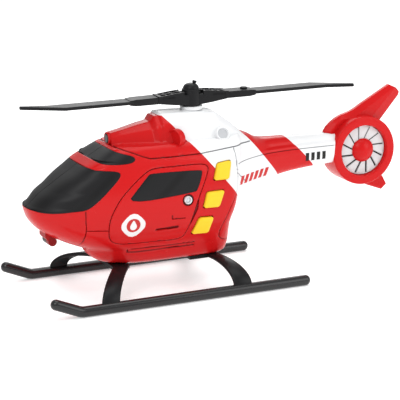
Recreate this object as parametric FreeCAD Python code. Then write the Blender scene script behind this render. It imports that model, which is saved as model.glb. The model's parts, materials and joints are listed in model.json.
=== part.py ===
import FreeCAD, Part
import math
import os

from FreeCAD import Placement, Rotation, Vector

# Toy rescue helicopter with two skids and a shrouded tail fan.
# Working frame: +X to the nose, +Y to port, +Z up, floor at Z = 0, rotor mast at X = 0.
# Every piece is moved by MAST_X on export, so that the origin is below the middle of the box.

# ---------------------------------------------------------------- driving dimensions, mm
MAST_X = 22.85            # mast axis in the exported frame
WALL = 2.0                # wall of every moulded shell
FIT = 0.05                # radial clearance of a running fit
SKID_Y = 55.67            # skid tubes, off the middle plane
SKID_R = 4.2
SKID_Z = 4.08
SKID_REAR_X = -76.6
SKID_BEND_X = 116.9
SKID_TIP = (137.3, 12.5)  # centre of the tube's front end, X and Z
BELLY_Z = 25.0            # flat underside of the belly
ARCH_T = 3.0              # thickness of the landing arches
TAIL_X = -149.66          # centre of the tail fan
TAIL_Z = 91.8
RING_R = 28.2
DUCT_R = 20.8
RING_HALF = 12.0
FAN_R = 20.2
FAN_Y = (5.0, 8.6)        # fan blades, inner and outer face
FAN_BLADES = 12
FIN_HALF = 4.6
BLADE_Z = 149.8           # top face of the rotor blades
BLADE_T = 2.7
BLADE_REACH = 136.2
BLADE_HALF_CHORD = 7.56
ROTOR_TURN = -2.02        # degrees, how the rotor stands at rest
HUB_R = 7.5
HUB_Z = (141.6, 153.0)
# Hub arm, by distance from the mast: (radius, half width, bottom Z, top Z)
HUB_ARM = [(5.0, 6.3, 142.4, 153.0), (16.0, 6.6, 143.6, 152.6), (28.0, 6.6, 145.4, 151.2)]
MAST_R = 2.0
BUTTON_TRAVEL = 1.5
BUTTON_PROUD = 2.2
BOARD_Y = 20.0
BOARD_X = (-15.0, 16.0)     # circuit board, rear and front edge

# Cabin hull, by level: (Z, foremost X, rearmost X, half width)
CABIN = [
    (25.0, 77.0, -21.5, 19.5), (27.5, 84.0, -23.5, 23.5), (33.0, 90.5, -25.0, 26.0),
    (38.0, 94.0, -25.3, 28.0), (42.0, 103.4, -25.1, 30.0), (46.0, 112.5, -25.0, 31.7),
    (50.0, 120.2, -25.1, 33.2), (55.0, 127.8, -26.0, 35.2), (61.0, 134.1, -28.0, 36.8),
    (68.0, 138.3, -29.8, 37.8), (75.0, 139.9, -30.8, 38.0), (77.5, 136.5, -31.0, 37.9),
    (84.0, 129.6, -31.4, 37.4), (90.0, 120.4, -31.9, 36.6), (96.0, 111.3, -32.5, 35.4),
    (101.0, 102.9, -33.6, 34.0), (105.0, 96.6, -34.4, 33.2), (109.0, 89.0, -35.2, 31.5),
    (112.5, 82.8, -35.8, 29.5), (116.0, 76.4, -36.0, 27.0), (118.0, 72.0, -36.0, 25.0),
]
NOSE_LENGTH = 36.0        # how far back the nose rounds over
REAR_LENGTH = 15.0
# Tail boom, by station: (X, half width, bottom Z, top Z)
BOOM = [
    (-122.0, 11.6, 83.0, 107.6), (-104.0, 12.0, 82.0, 108.4), (-86.0, 12.6, 80.4, 109.0),
    (-72.0, 13.8, 78.2, 109.4), (-62.0, 15.6, 75.4, 109.8), (-54.0, 17.8, 72.7, 111.6),
    (-47.0, 20.5, 70.0, 115.6), (-38.0, 24.5, 66.6, 118.2), (-26.0, 30.0, 63.0, 119.0),
    (-14.0, 33.5, 58.0, 119.0),
]
# Engine cowling, by station: X and its half section from the crest down to the deck
COWL = [
    (70.0, [(0, 127.0), (3.6, 126.4), (5.4, 123.0), (6.0, 117.5), (12.0, 116.5), (19.0, 113.5)]),
    (62.0, [(0, 128.4), (4.0, 127.8), (7.0, 124.5), (9.0, 118.8), (15.0, 117.0), (24.0, 111.5)]),
    (48.0, [(0, 131.5), (4.5, 131.0), (9.5, 126.5), (12.5, 118.6), (18.0, 116.8), (26.5, 109.5)]),
    (38.0, [(0, 133.2), (5.0, 132.8), (11.0, 127.5), (15.0, 118.4), (20.0, 116.2), (27.4, 109.0)]),
    (34.5, [(0, 137.4), (6.5, 137.0), (13.5, 129.5), (17.0, 118.5), (21.0, 115.8), (27.6, 108.8)]),
    (30.5, [(0, 137.6), (7.4, 137.1), (14.4, 130.2), (18.0, 119.0), (21.6, 115.6), (27.7, 108.7)]),
    (28.0, [(0, 139.6), (8.4, 139.0), (15.6, 131.2), (19.0, 119.4), (22.0, 115.3), (27.8, 108.6)]),
    (22.0, [(0, 139.5), (9.0, 138.9), (17.0, 132.0), (20.5, 120.0), (22.5, 115.0), (27.8, 108.6)]),
    (0.0, [(0, 138.6), (10.0, 138.0), (17.5, 131.0), (20.5, 120.0), (22.5, 114.5), (27.8, 108.4)]),
    (-16.0, [(0, 137.2), (9.5, 136.5), (16.5, 130.0), (19.5, 120.0), (21.5, 114.5), (26.4, 108.4)]),
    (-29.0, [(0, 128.0), (8.5, 127.2), (14.5, 122.0), (17.5, 116.0), (19.0, 113.0), (22.0, 108.6)]),
    (-41.0, [(0, 117.6), (7.0, 117.2), (10.5, 115.8), (13.0, 113.4), (14.5, 112.0), (16.0, 110.2)]),
]
# Side-view outlines, (X, Z)
COWL_JOINT = [(79, 124), (71, 118.2), (60, 114.4), (54.5, 111.7), (48, 109), (44, 108.2),
              (-25, 108.2), (-43.5, 110.6), (-43.5, 150), (79, 150)]
WINDSCREEN = [(150, 75.2), (138.7, 75.1), (133.9, 73.8), (123.5, 73.8), (112, 75.0), (101, 75.3),
              (91.5, 82.2), (82, 90.6), (74.4, 97.8), (73.4, 100.6), (75.4, 102.6), (84, 103.8),
              (97.2, 104.9), (112, 116), (150, 116)]
ROOF_WINDOW = [(59.8, 110.6), (61, 108), (64.5, 106.8), (76, 106.4), (84, 107.2), (88.9, 108.9),
               (94, 113), (84, 123), (76.4, 116.4), (69.5, 114.0), (63, 113.2)]
DOOR_WINDOW = [(71.3, 77.2), (60.5, 89.0), (51.6, 97.9), (49, 99.0), (8.4, 97.9), (6.2, 96.2),
               (11.8, 82.6), (14.4, 81.2)]
BUTTONS = {"top": (-11.3, 95.5), "middle": (-2.2, 73.4), "lower": (5.3, 51.8)}
BUTTON_HALF = (6.2, 7.2)
BUTTON_SHEAR = 0.33       # forward lean of a button's lower edge, mm per mm
FIN = [(-117.5, 108.6), (-123.9, 115.8), (-133.1, 121.2), (-141.4, 123.3), (-151.5, 128.6),
       (-177.6, 142.5), (-184.2, 139.4), (-187.2, 135.8), (-186.3, 132.9), (-169.6, 113.9),
       (-150.0, 104.0), (-122.0, 100.0)]
VENTRAL_FIN = [(-157.4, 60.3), (-171.7, 54.9), (-176.4, 59.1), (-172.5, 66.3), (-163, 76), (-152, 74)]
BOSSES = [(104.0, 66.0), (84.0, 52.0), (52.0, 104.0), (-16.0, 62.0), (-60.0, 94.0), (-104.0, 95.0)]
BOSS_R = 3.4
SCREW_R = 1.3
SPEAKER = (36.0, 62.0)    # X and Z of the loudspeaker's middle
SIDE_LAMP = (20.1, 75.6)  # X and Z of the small lamp in the port door
EXHAUST_FOOT = (-16.8, 13.0, 116.8)   # X, Y, Z of the port exhaust stub's foot
EXHAUST_LEAN = (0.9, 0.43)            # its direction, outwards and up
EXHAUST_R, EXHAUST_BORE = 5.6, 4.4
EXHAUST_LENGTH, EXHAUST_FLOOR = 11.5, 10.0
INTAKE_AT = (24.6, 20.5, 121.6)       # middle of the port intake's front face
INTAKE_R, INTAKE_BORE = 7.4, 6.6
INTAKE_TURN = 22.0                    # degrees that the intakes look outwards
# Landing arches, as (rear X, front X) of the belly bar, of the leg's top and of its foot
FRONT_ROOT, FRONT_FOOT = (62.5, 76.5), (85.7, 100.4)
REAR_ROOT, REAR_FOOT = (-13.4, -4.0), (-25.6, -10.0)
FRONT_BAR, REAR_BAR = (62.5, 76.5), (-13.4, 11.0)


# ---------------------------------------------------------------- small helpers
def smooth(x, table, column):
    """Monotone cubic through a table's column, read at x."""
    xs = [row[0] for row in table]
    ys = [row[column] for row in table]
    last = len(xs) - 1
    step = [xs[i + 1] - xs[i] for i in range(last)]
    rise = [(ys[i + 1] - ys[i]) / step[i] for i in range(last)]
    slope = [rise[0]]
    for i in range(1, last):
        if rise[i - 1] * rise[i] <= 0:
            slope.append(0.0)
            continue
        w1 = 2 * step[i] + step[i - 1]
        w2 = step[i] + 2 * step[i - 1]
        slope.append((w1 + w2) / (w1 / rise[i - 1] + w2 / rise[i]))
    slope.append(rise[-1])
    k = 0
    while k < last - 1 and x > xs[k + 1]:
        k += 1
    h = step[k]
    t = (x - xs[k]) / h
    return ((1 + 2 * t) * (1 - t) ** 2 * ys[k] + t * (1 - t) ** 2 * h * slope[k]
            + t * t * (3 - 2 * t) * ys[k + 1] + t * t * (t - 1) * h * slope[k + 1])


def widening(x):
    """The hull is widest by the door and narrows towards both ends."""
    if x > 20:
        return 1 - 0.17 * ((x - 20) / 90) ** 2
    return 1 - 0.06 * ((20 - x) / 45) ** 2


def box(x0, x1, y0, y1, z0, z1):
    return Part.makeBox(x1 - x0, y1 - y0, z1 - z0, Vector(x0, y0, z0))


def rod(radius, start, end):
    """A round bar between two points."""
    axis = end - start
    return Part.makeCylinder(radius, axis.Length, start, axis)


def plate(points, y0, y1):
    """A side-view outline (X, Z) made solid between two Y planes."""
    ring = [Vector(x, y0, z) for x, z in points]
    face = Part.Face(Part.makePolygon(ring + ring[:1]))
    return face.extrude(Vector(0, y1 - y0, 0))


def one(shape):
    """The largest solid of a cut, without splinter faces."""
    return max(shape.Solids, key=lambda s: s.Volume)


def half_space(side):
    """Everything to port (side +1) or to starboard (side -1) of the middle plane."""
    return box(-220, 170, 0, 90, 0, 200) if side > 0 else box(-220, 170, -90, 0, 0, 200)


def rounded(shape, radius, pick):
    """A fillet on the edges that pick accepts, left out if it can't be made."""
    edges = [e for e in shape.Edges if pick(e)]
    try:
        return shape.makeFillet(radius, edges)
    except Exception:
        return shape


# ---------------------------------------------------------------- hull surfaces
def nose_power(z):
    """The nose's plan curve is a superellipse; it grows squarer above the waterline and at the roof."""
    lower = min(1.0, max(0.0, (z - 75.0) / 8.0))
    upper = min(1.0, max(0.0, (z - 88.0) / 20.0))
    return 2.35 + 0.35 * lower + 2.3 * upper


def cabin_outline(z, inset):
    """Closed plan outline of the cabin at one level: a blunt nose, bulging sides, a round rear."""
    front = smooth(z, CABIN, 1) - inset
    rear = smooth(z, CABIN, 2) + inset
    width = smooth(z, CABIN, 3) - inset
    power = nose_power(z)
    port = []
    for i in range(1, 16):
        x = rear + (front - rear) * (0.5 - 0.5 * math.cos(math.pi * i / 16))
        a = min(1.0, max(0.0, (x - front + NOSE_LENGTH) / NOSE_LENGTH))
        b = min(1.0, max(0.0, (rear + REAR_LENGTH - x) / REAR_LENGTH))
        y = width * widening(x) * (1 - a ** power) ** (1 / power) * (1 - b ** 2.6) ** (1 / 2.6)
        port.append((x, y))
    ring = [(rear, 0.0)] + port + [(front, 0.0)] + [(x, -y) for x, y in reversed(port)]
    curve = Part.BSplineCurve()
    curve.interpolate([Vector(x, y, z) for x, y in ring], PeriodicFlag=True)
    return Part.Wire(curve.toShape())


def cabin(inset):
    """The cabin as one solid, lofted through its levels; a crease runs at the windscreen's foot."""
    floor = BELLY_Z + inset
    roof = 118.0 - inset
    low = [floor] + [z for z in (27.5, 33.0, 38.0, 44.0, 50.0, 57.0, 66.0, 75.0) if z > floor]
    high = [z for z in (75.0, 77.5, 84.0, 92.0, 100.0, 105.0, 109.0, 112.5, 116.0) if z < roof - 1]
    high.append(min(roof, 118.0))
    lower = Part.makeLoft([cabin_outline(z, inset) for z in low], True, False)
    upper = Part.makeLoft([cabin_outline(z, inset) for z in high], True, False)
    return lower.fuse(upper)


def boom_section(x, inset):
    """Closed section of the tail boom: boxy, softer on top."""
    width = smooth(x, BOOM, 1) - inset
    low = smooth(x, BOOM, 2) + inset
    high = smooth(x, BOOM, 3) - inset
    mid = low + 0.45 * (high - low)
    ring = []
    for i in range(24):
        a = 2 * math.pi * i / 24
        c = math.cos(a)
        s = math.sin(a)
        y = width * math.copysign(abs(c) ** 0.72, c)
        z = mid + (high - mid if s > 0 else mid - low) * math.copysign(abs(s) ** 0.78, s)
        ring.append(Vector(x, y, z))
    curve = Part.BSplineCurve()
    curve.interpolate(ring, PeriodicFlag=True)
    return Part.Wire(curve.toShape())


def boom(inset):
    stations = [-14.0, -26.0, -38.0, -47.0, -54.0, -64.0, -80.0, -100.0, -121.0]
    return Part.makeLoft([boom_section(x, inset) for x in stations], True, False)


def cowl_block(inset):
    """The cowling's outer or inner block: flat facets between its stations."""
    wires = []
    for x, half in COWL:
        if inset:
            half = [(max(0.0, y - inset), z - inset) for y, z in half]
        down = half[-1]
        side = half[1:] + [(down[0], 100.0)]
        ring = [(0.0, half[0][1])] + side + [(-y, z) for y, z in reversed(side)]
        points = [Vector(x, y, z) for y, z in ring]
        wires.append(Part.makePolygon(points + points[:1]))
    block = Part.makeLoft(wires, True, True)
    if inset:
        block = block.common(box(-41 + inset, 70 - inset, -60, 60, 90, 160))
    return block


# ---------------------------------------------------------------- body shells
def hull(inset):
    return cabin(inset).fuse(boom(inset))


OUTER = hull(0.0)
INNER = hull(WALL)
TOP_CUT = plate(COWL_JOINT, -60, 60)


def button_outline(name, gap):
    """A button seen from the side: a square that leans forward as it goes down."""
    x, z = BUTTONS[name]
    hx, hz = BUTTON_HALF[0] + gap, BUTTON_HALF[1] + gap
    corners = [(-hx, hz), (hx, hz), (hx, -hz), (-hx, -hz)]
    return [(x + dx - BUTTON_SHEAR * dz, z + dz) for dx, dz in corners]


def fuselage(side):
    """One half of the clamshell body, with its screw bosses and openings."""
    shell = OUTER.cut(INNER)
    room = OUTER.common(half_space(side))
    shell = shell.common(half_space(side))
    shell = shell.cut(TOP_CUT)
    for x, z in BOSSES:
        post = rod(BOSS_R, Vector(x, 0, z), Vector(x, side * 60, z))
        shell = shell.fuse(post.common(room))
    shell = shell.cut(plate(WINDSCREEN, -60, 60))
    shell = shell.cut(plate(ROOF_WINDOW, -60, 60))
    shell = shell.cut(plate(DOOR_WINDOW, side * 20, side * 60))
    shell = shell.cut(box(24, 54, -13, 13, 20, 30))
    shell = shell.cut(box(-122, -119, -30, 30, 60, 130))
    for x, z in BOSSES:
        if side > 0:
            hole = rod(SCREW_R + FIT, Vector(x, 0, z), Vector(x, 9, z))
        else:
            hole = rod(SCREW_R + FIT, Vector(x, 0, z), Vector(x, -60, z))
            hole = hole.fuse(rod(2.6, Vector(x, -5, z), Vector(x, -60, z)))
        shell = shell.cut(hole)
    if side > 0:
        for name in BUTTONS:
            shell = shell.cut(plate(button_outline(name, 0.35), 20, 60))
        shell = shell.cut(lamp_rod(4.35, 30, 60))
    else:
        x, z = SPEAKER
        for i in range(6):
            a = math.radians(60 * i)
            dx, dz = 5.0 * math.cos(a), 5.0 * math.sin(a)
            shell = shell.cut(rod(0.9, Vector(x + dx, -60, z + dz), Vector(x + dx, -20, z + dz)))
    for x, y in arch_screw_places(FRONT_BAR) + arch_screw_places(REAR_BAR):
        if y * side > 0:
            shell = shell.cut(rod(1.5, Vector(x, y, 20), Vector(x, y, 30)))
    return one(shell)


def body_screws():
    """Six screws that draw the right half onto the left half's bosses."""
    screws = []
    for x, z in BOSSES:
        shank = rod(SCREW_R, Vector(x, 8, z), Vector(x, -5, z))
        head = rod(2.5, Vector(x, -5, z), Vector(x, -6.8, z))
        slot = box(x - 2, x + 2, -7, -6.1, z - 0.35, z + 0.35)
        screws.append(shank.fuse(head).cut(slot))
    return Part.makeCompound(screws)


def window(outline, side):
    """A moulded window: the piece of the hull's wall that its opening cuts out."""
    pane = OUTER.cut(INNER).common(half_space(side))
    pane = pane.common(plate(outline, -60, 60)).cut(TOP_CUT)
    return one(pane)


def cowling():
    """The engine cowling: the lamp tunnel in front, the pylon behind, the deck below."""
    block = cowl_block(0.0).fuse(OUTER).common(TOP_CUT)
    hollow = cowl_block(WALL).fuse(INNER)
    shell = one(block.cut(hollow))
    for side in (1, -1):
        base = Vector(EXHAUST_FOOT[0], side * EXHAUST_FOOT[1], EXHAUST_FOOT[2])
        axis = Vector(0, side * EXHAUST_LEAN[0], EXHAUST_LEAN[1]).normalize()
        stub = rod(EXHAUST_R, base, base + axis * EXHAUST_LENGTH)
        shell = shell.fuse(stub.cut(hollow))
        shell = shell.cut(rod(EXHAUST_BORE, base + axis * EXHAUST_FLOOR, base + axis * 14))
    tower = rod(6.0, Vector(0, 0, 124), Vector(0, 0, 138))
    shell = shell.fuse(tower)
    shell = shell.cut(rod(4.4, Vector(0, 0, 120), Vector(0, 0, 150)))
    shell = shell.cut(rod(3.9, Vector(60, 0, 121.8), Vector(75, 0, 121.8)))
    shell = shell.cut(plate(ROOF_WINDOW, -60, 60))
    return one(shell)


def intake(side):
    """A short round air intake that stands on the deck and looks forward."""
    turn = math.radians(INTAKE_TURN)
    axis = Vector(math.cos(turn), side * math.sin(turn), 0)
    middle = Vector(INTAKE_AT[0], side * INTAKE_AT[1], INTAKE_AT[2])
    pod = rod(INTAKE_R, middle - axis * 6, middle)
    pod = pod.cut(rod(INTAKE_BORE, middle - axis * 0.8, middle + axis * 2))
    pod = pod.cut(cowl_block(0.0)).cut(OUTER)
    return one(pod)


# ---------------------------------------------------------------- lamps and fittings
def beacon_lens():
    """Small dark lens at the tip of the cowling's tunnel."""
    barrel = rod(3.8, Vector(62, 0, 121.8), Vector(70.2, 0, 121.8))
    dome = Part.makeSphere(3.8, Vector(70.2, 0, 121.8))
    return barrel.fuse(dome.common(box(70.2, 72.2, -5, 5, 115, 130))).removeSplitter()


def beacon_led():
    body = rod(2.5, Vector(54.5, 0, 121.8), Vector(61.8, 0, 121.8))
    return body.fuse(rod(2.9, Vector(53.5, 0, 121.8), Vector(54.5, 0, 121.8)))


def lamp_rod(radius, y0, y1):
    """A round bar on the side lamp's axis."""
    x, z = SIDE_LAMP
    return rod(radius, Vector(x, y0, z), Vector(x, y1, z))


def side_lamp_bezel():
    """White ring of the little lamp in the port door."""
    return lamp_rod(3.3, 33.0, 38.8).cut(lamp_rod(2.3, 34.5, 40))


def side_lamp_socket():
    """Dark cup behind the ring, let into the wall."""
    return lamp_rod(4.3, 31.0, 37.0).cut(lamp_rod(3.65, 33.0, 38))


def side_lamp_lens():
    dome = Part.makeSphere(3.2, Vector(SIDE_LAMP[0], 34.3, SIDE_LAMP[1]))
    return lamp_rod(2.25, 34.5, 36.4).fuse(dome.common(lamp_rod(2.25, 36.0, 38)))


def search_light_bracket():
    """Bracket under the chin that carries the search light; its top follows the hull."""
    side = [(126.2, 54.5), (126.2, 50.6), (124.2, 48.2), (119.8, 44.4), (116.6, 43.4), (114.6, 43.8),
            (113.4, 46.0), (113.4, 51.0), (118.0, 60.0)]
    block = plate(side, -6.5, 6.5).cut(OUTER)
    block = one(block)
    return one(block.cut(rod(3.55, Vector(120.4, -9, 46.8), Vector(120.4, 9, 46.8))))


def search_light():
    """Dark lamp drum held across the bracket."""
    drum = rod(3.5, Vector(120.4, -6.8, 46.8), Vector(120.4, 6.8, 46.8))
    return drum.cut(OUTER)


# ---------------------------------------------------------------- power and sound
def battery_door():
    return box(24.05, 53.95, -12.95, 12.95, BELLY_Z, BELLY_Z + WALL - 0.1).cut(
        rod(1.5, Vector(50, 0, 20), Vector(50, 0, 30)))


def battery_door_screw():
    shank = rod(1.4, Vector(50, 0, 25.6), Vector(50, 0, 33.5))
    head = rod(2.6, Vector(50, 0, 24.2), Vector(50, 0, 25.0))
    return head.fuse(rod(1.4, Vector(50, 0, 25.0), Vector(50, 0, 25.6))).fuse(shank)


def battery_box():
    """Open tray for three button cells, with a screw post at its front."""
    tray = box(25, 46, -9, 9, 27.2, 42).cut(box(26.2, 44.8, -6.2, 6.2, 26, 40.4))
    post = rod(3.0, Vector(50, 0, 27.2), Vector(50, 0, 40)).cut(rod(1.45, Vector(50, 0, 26), Vector(50, 0, 36)))
    web = box(45.9, 48.0, -1.5, 1.5, 30, 42)
    return one(tray.fuse(post).fuse(web))


def battery_cells():
    """Three button cells in a row."""
    cells = []
    for i in range(3):
        x = 27.2 + i * 5.45
        cells.append(rod(5.8, Vector(x, 0, 34.2), Vector(x + 5.4, 0, 34.2)))
    return Part.makeCompound(cells)


def battery_contacts():
    """Spring-steel leaves at both ends of the cells."""
    front = box(43.6, 44.0, -4, 4, 28.5, 40)
    rear = box(26.4, 26.8, -4, 4, 28.5, 40)
    return Part.makeCompound([front, rear])


def speaker():
    """Small loudspeaker that faces the right-hand wall."""
    x, z = SPEAKER
    face, back = -30.6, -28.1
    frame = rod(11.0, Vector(x, face, z), Vector(x, back, z))
    magnet = rod(6.5, Vector(x, back, z), Vector(x, back + 5.0, z))
    cone = Part.makeCone(9.5, 4.0, 1.8, Vector(x, face, z), Vector(0, 1, 0))
    return frame.fuse(magnet).cut(cone)


def circuit_board():
    """Upright board behind the three buttons."""
    board = box(BOARD_X[0], BOARD_X[1], BOARD_Y, BOARD_Y + 1.2, 46, 102)
    for x, z in BOSSES:
        board = board.cut(rod(BOSS_R + 0.4, Vector(x, 0, z), Vector(x, 40, z)))
    return one(board)


def switches():
    """Three press switches on the board, one behind each button."""
    out = []
    for x, z in BUTTONS.values():
        base = box(x - 3, x + 3, BOARD_Y + 1.2, BOARD_Y + 4.2, z - 3, z + 3)
        out.append(base.fuse(rod(1.7, Vector(x, BOARD_Y + 4.2, z), Vector(x, BOARD_Y + 5.2, z))))
    return Part.makeCompound(out)


def sound_chip():
    """Black resin cap over the sound chip, on the board's inner side."""
    cap = Part.makeCone(4.0, 3.0, 1.6, Vector(-8, BOARD_Y, 84), Vector(0, -1, 0))
    return cap


def button(name):
    """A push button: a leaning square cap, a flange inside the wall and a stem."""
    x, z = BUTTONS[name]
    cap = plate(button_outline(name, 0.0), 20, 60)
    cap = rounded(cap, 1.2, lambda e: abs(e.BoundBox.YLength) > 30)
    cap = cap.common(CAP_OUT).cut(CAP_IN)
    flange = plate(button_outline(name, 1.3), 20, 60).common(FLANGE_OUT).cut(CAP_IN)
    stem = rod(2.4, Vector(x, BOARD_Y + 5.3 + BUTTON_TRAVEL, z), Vector(x, 60, z)).common(CAP_OUT)
    return one(cap.fuse(flange).fuse(stem))


# ---------------------------------------------------------------- tail
def ring_profile():
    """The shroud: a thick ring with round shoulders, round the fan's axis."""
    outer = Part.makeCylinder(RING_R, 2 * RING_HALF, Vector(TAIL_X, -RING_HALF, TAIL_Z), Vector(0, 1, 0))
    outer = outer.makeFillet(3.4, [e for e in outer.Edges if e.Length > 100 and len(e.Vertexes) == 1])
    return outer


def tail_housing(side):
    """Half of the tail: shroud, fin and ventral fin, and on the right the fan's bracket."""
    body = ring_profile()
    fin = plate(FIN, -FIN_HALF, FIN_HALF)
    body = body.fuse(fin).fuse(plate(VENTRAL_FIN, -3.2, 3.2))
    body = body.fuse(box(-140, -119, -11.4, 11.4, 84.6, 106.8))
    duct = rod(DUCT_R, Vector(TAIL_X, -40, TAIL_Z), Vector(TAIL_X, 40, TAIL_Z))
    body = body.cut(duct)
    if side < 0:
        arms = rod(5.0, Vector(TAIL_X, -7, TAIL_Z), Vector(TAIL_X, 0, TAIL_Z))
        for i in range(3):
            arm = box(-1.5, 1.5, -5, 0, 0, DUCT_R + 1)
            arm.Placement = Placement(Vector(TAIL_X, 0, TAIL_Z), Rotation(Vector(0, 1, 0), 120 * i + 60))
            arms = arms.fuse(arm)
        body = body.fuse(arms)
        body = body.cut(rod(1.5, Vector(TAIL_X, -20, TAIL_Z), Vector(TAIL_X, 10, TAIL_Z)))
    return one(body.common(half_space(side)))


def fan_wheel():
    """Twelve broad blades round a hub; the gaps between them are tangent to the hub."""
    disc = rod(FAN_R, Vector(TAIL_X, FAN_Y[0], TAIL_Z), Vector(TAIL_X, FAN_Y[1], TAIL_Z))
    for i in range(FAN_BLADES):
        gap = box(3.0, 4.0, FAN_Y[0] - 1, FAN_Y[1] + 1, 8.0, FAN_R + 2)
        gap.Placement = Placement(Vector(TAIL_X, 0, TAIL_Z), Rotation(Vector(0, 1, 0), 360 * i / FAN_BLADES))
        disc = disc.cut(gap)
    sleeve = rod(5.0, Vector(TAIL_X, 0.6, TAIL_Z), Vector(TAIL_X, FAN_Y[0], TAIL_Z))
    return one(disc.fuse(sleeve).cut(rod(1.5 + FIT, Vector(TAIL_X, -5, TAIL_Z), Vector(TAIL_X, 9, TAIL_Z))))


def fan_cap():
    """Red dome on the middle of the fan."""
    sphere = Part.makeSphere(11.5, Vector(TAIL_X, FAN_Y[1] - 5.6, TAIL_Z))
    dome = sphere.common(rod(9.7, Vector(TAIL_X, FAN_Y[1], TAIL_Z), Vector(TAIL_X, 20, TAIL_Z)))
    return one(dome.cut(rod(1.9, Vector(TAIL_X, 0, TAIL_Z), Vector(TAIL_X, FAN_Y[1] + 1.4, TAIL_Z))))


def fan_axle():
    """Steel pin, pressed into the bracket; the fan turns on it."""
    return rod(1.5, Vector(TAIL_X, -6.9, TAIL_Z), Vector(TAIL_X, FAN_Y[1] + 1.1, TAIL_Z))


# ---------------------------------------------------------------- landing gear
def skid(side):
    """Round tube with an upturned front, domed ends and a narrow flat to stand on."""
    y = side * SKID_Y
    points = [Vector(SKID_REAR_X + SKID_R, y, SKID_Z), Vector(SKID_BEND_X, y, SKID_Z),
              Vector(SKID_TIP[0], y, SKID_TIP[1])]
    tube = rod(SKID_R, points[0], points[1]).fuse(rod(SKID_R, points[1], points[2]))
    for point in points:
        tube = tube.fuse(Part.makeSphere(SKID_R, point))
    tube = tube.cut(box(-100, 160, y - 10, y + 10, -5, 0))
    return one(tube)


def arch_leg(side, root, foot):
    """One leg: a flat bar that leaves the belly level and ends upright on the tube."""
    wires = []
    for i in range(7):
        a = math.radians(90 * i / 6)
        y = 20 + (SKID_Y - 20) * math.sin(a)
        z = 6.5 + (BELLY_Z - ARCH_T / 2 - 6.5) * math.cos(a)
        t = math.sin(a)
        x0 = root[0] + (foot[0] - root[0]) * t
        x1 = root[1] + (foot[1] - root[1]) * t
        across = Vector(0, -math.sin(a) * 0.9, -math.cos(a)).normalize() * (ARCH_T / 2)
        mid = Vector(0, y, z)
        corners = [Vector(x0, 0, 0) + mid - across, Vector(x1, 0, 0) + mid - across,
                   Vector(x1, 0, 0) + mid + across, Vector(x0, 0, 0) + mid + across]
        if side < 0:
            corners = [Vector(p.x, -p.y, p.z) for p in corners]
        wires.append(Part.makePolygon(corners + corners[:1]))
    return Part.makeLoft(wires, True, True)


def arch(span, root, foot):
    """A whole landing arch: the cross bar under the belly and both legs."""
    bar = box(span[0], span[1], -20, 20, BELLY_Z - ARCH_T, BELLY_Z)
    whole = bar.fuse(arch_leg(1, root, foot)).fuse(arch_leg(-1, root, foot))
    whole = whole.cut(SKIDS).cut(OUTER)
    for x, y in arch_screw_places(span):
        whole = whole.cut(rod(1.5, Vector(x, y, 10), Vector(x, y, 30)))
    return one(whole)


def arch_screw_places(span):
    middle = (span[0] + span[1]) / 2
    return [(middle, 11.0), (middle, -11.0)]


def arch_screws():
    """Four screws that hold the arches to the belly."""
    out = []
    for span in (FRONT_BAR, REAR_BAR):
        for x, y in arch_screw_places(span):
            head = rod(2.6, Vector(x, y, BELLY_Z - ARCH_T - 1.6), Vector(x, y, BELLY_Z - ARCH_T))
            shank = rod(1.45, Vector(x, y, BELLY_Z - ARCH_T), Vector(x, y, BELLY_Z + WALL))
            out.append(head.fuse(shank))
    return Part.makeCompound(out)


# ---------------------------------------------------------------- rotor
def turned(shape):
    """The rotor's resting turn about the mast."""
    out = shape.copy()
    out.rotate(Vector(0, 0, 0), Vector(0, 0, 1), ROTOR_TURN)
    return out


def hub_arm(side):
    """A deep tapering arm and the thin tongue that carries the blade."""
    sections = []
    for r, half, low, high in HUB_ARM:
        ring = [Vector(side * r, -half, low), Vector(side * r, half, low),
                Vector(side * r, half, high), Vector(side * r, -half, high)]
        sections.append(Part.makePolygon(ring + ring[:1]))
    arm = Part.makeLoft(sections, True, True)
    x0, x1 = sorted((side * 27.0, side * 51.0))
    tongue = box(x0, x1, -4.6, 4.6, 145.0, 147.0)
    for k in (-1, 1):
        a0, a1 = sorted((side * 12.0, side * 25.0))
        pocket = box(a0, a1, *sorted((k * 1.2, k * 5.2)), 150.2, 154)
        arm = arm.cut(pocket)
    return arm.fuse(tongue).cut(rod(1.5, Vector(side * 45, 0, 140), Vector(side * 45, 0, 160)))


def rotor_hub():
    drum = rod(HUB_R, Vector(0, 0, HUB_Z[0]), Vector(0, 0, HUB_Z[1]))
    hub = drum.fuse(hub_arm(1)).fuse(hub_arm(-1))
    hub = hub.cut(rod(MAST_R, Vector(0, 0, 130), Vector(0, 0, 151)))
    return turned(one(hub))


def rotor_blade(side):
    """A flat blade with a thicker root cuff and a swept tip."""
    outline = [(28.1, -6.6), (53.0, -6.6), (55.0, -BLADE_HALF_CHORD), (106.0, -BLADE_HALF_CHORD),
               (BLADE_REACH, 10.1), (BLADE_REACH, 13.4), (115.0, BLADE_HALF_CHORD), (55.0, BLADE_HALF_CHORD),
               (53.0, 6.6), (28.1, 6.6)]
    ring = [Vector(side * r, -side * c, BLADE_Z - BLADE_T) for r, c in outline]
    blade = Part.Face(Part.makePolygon(ring + ring[:1])).extrude(Vector(0, 0, BLADE_T))
    x0, x1 = sorted((side * 28.1, side * 53.0))
    cuff = box(x0, x1, -6.6, 6.6, 145.6, 151.0)
    x0, x1 = sorted((side * 27.0, side * 51.05))
    blade = blade.fuse(cuff).cut(box(x0, x1, -4.65, 4.65, 144.0, 147.0))
    blade = blade.cut(rod(1.5, Vector(side * 45, 0, 140), Vector(side * 45, 0, 160)))
    return turned(one(blade))


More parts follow.
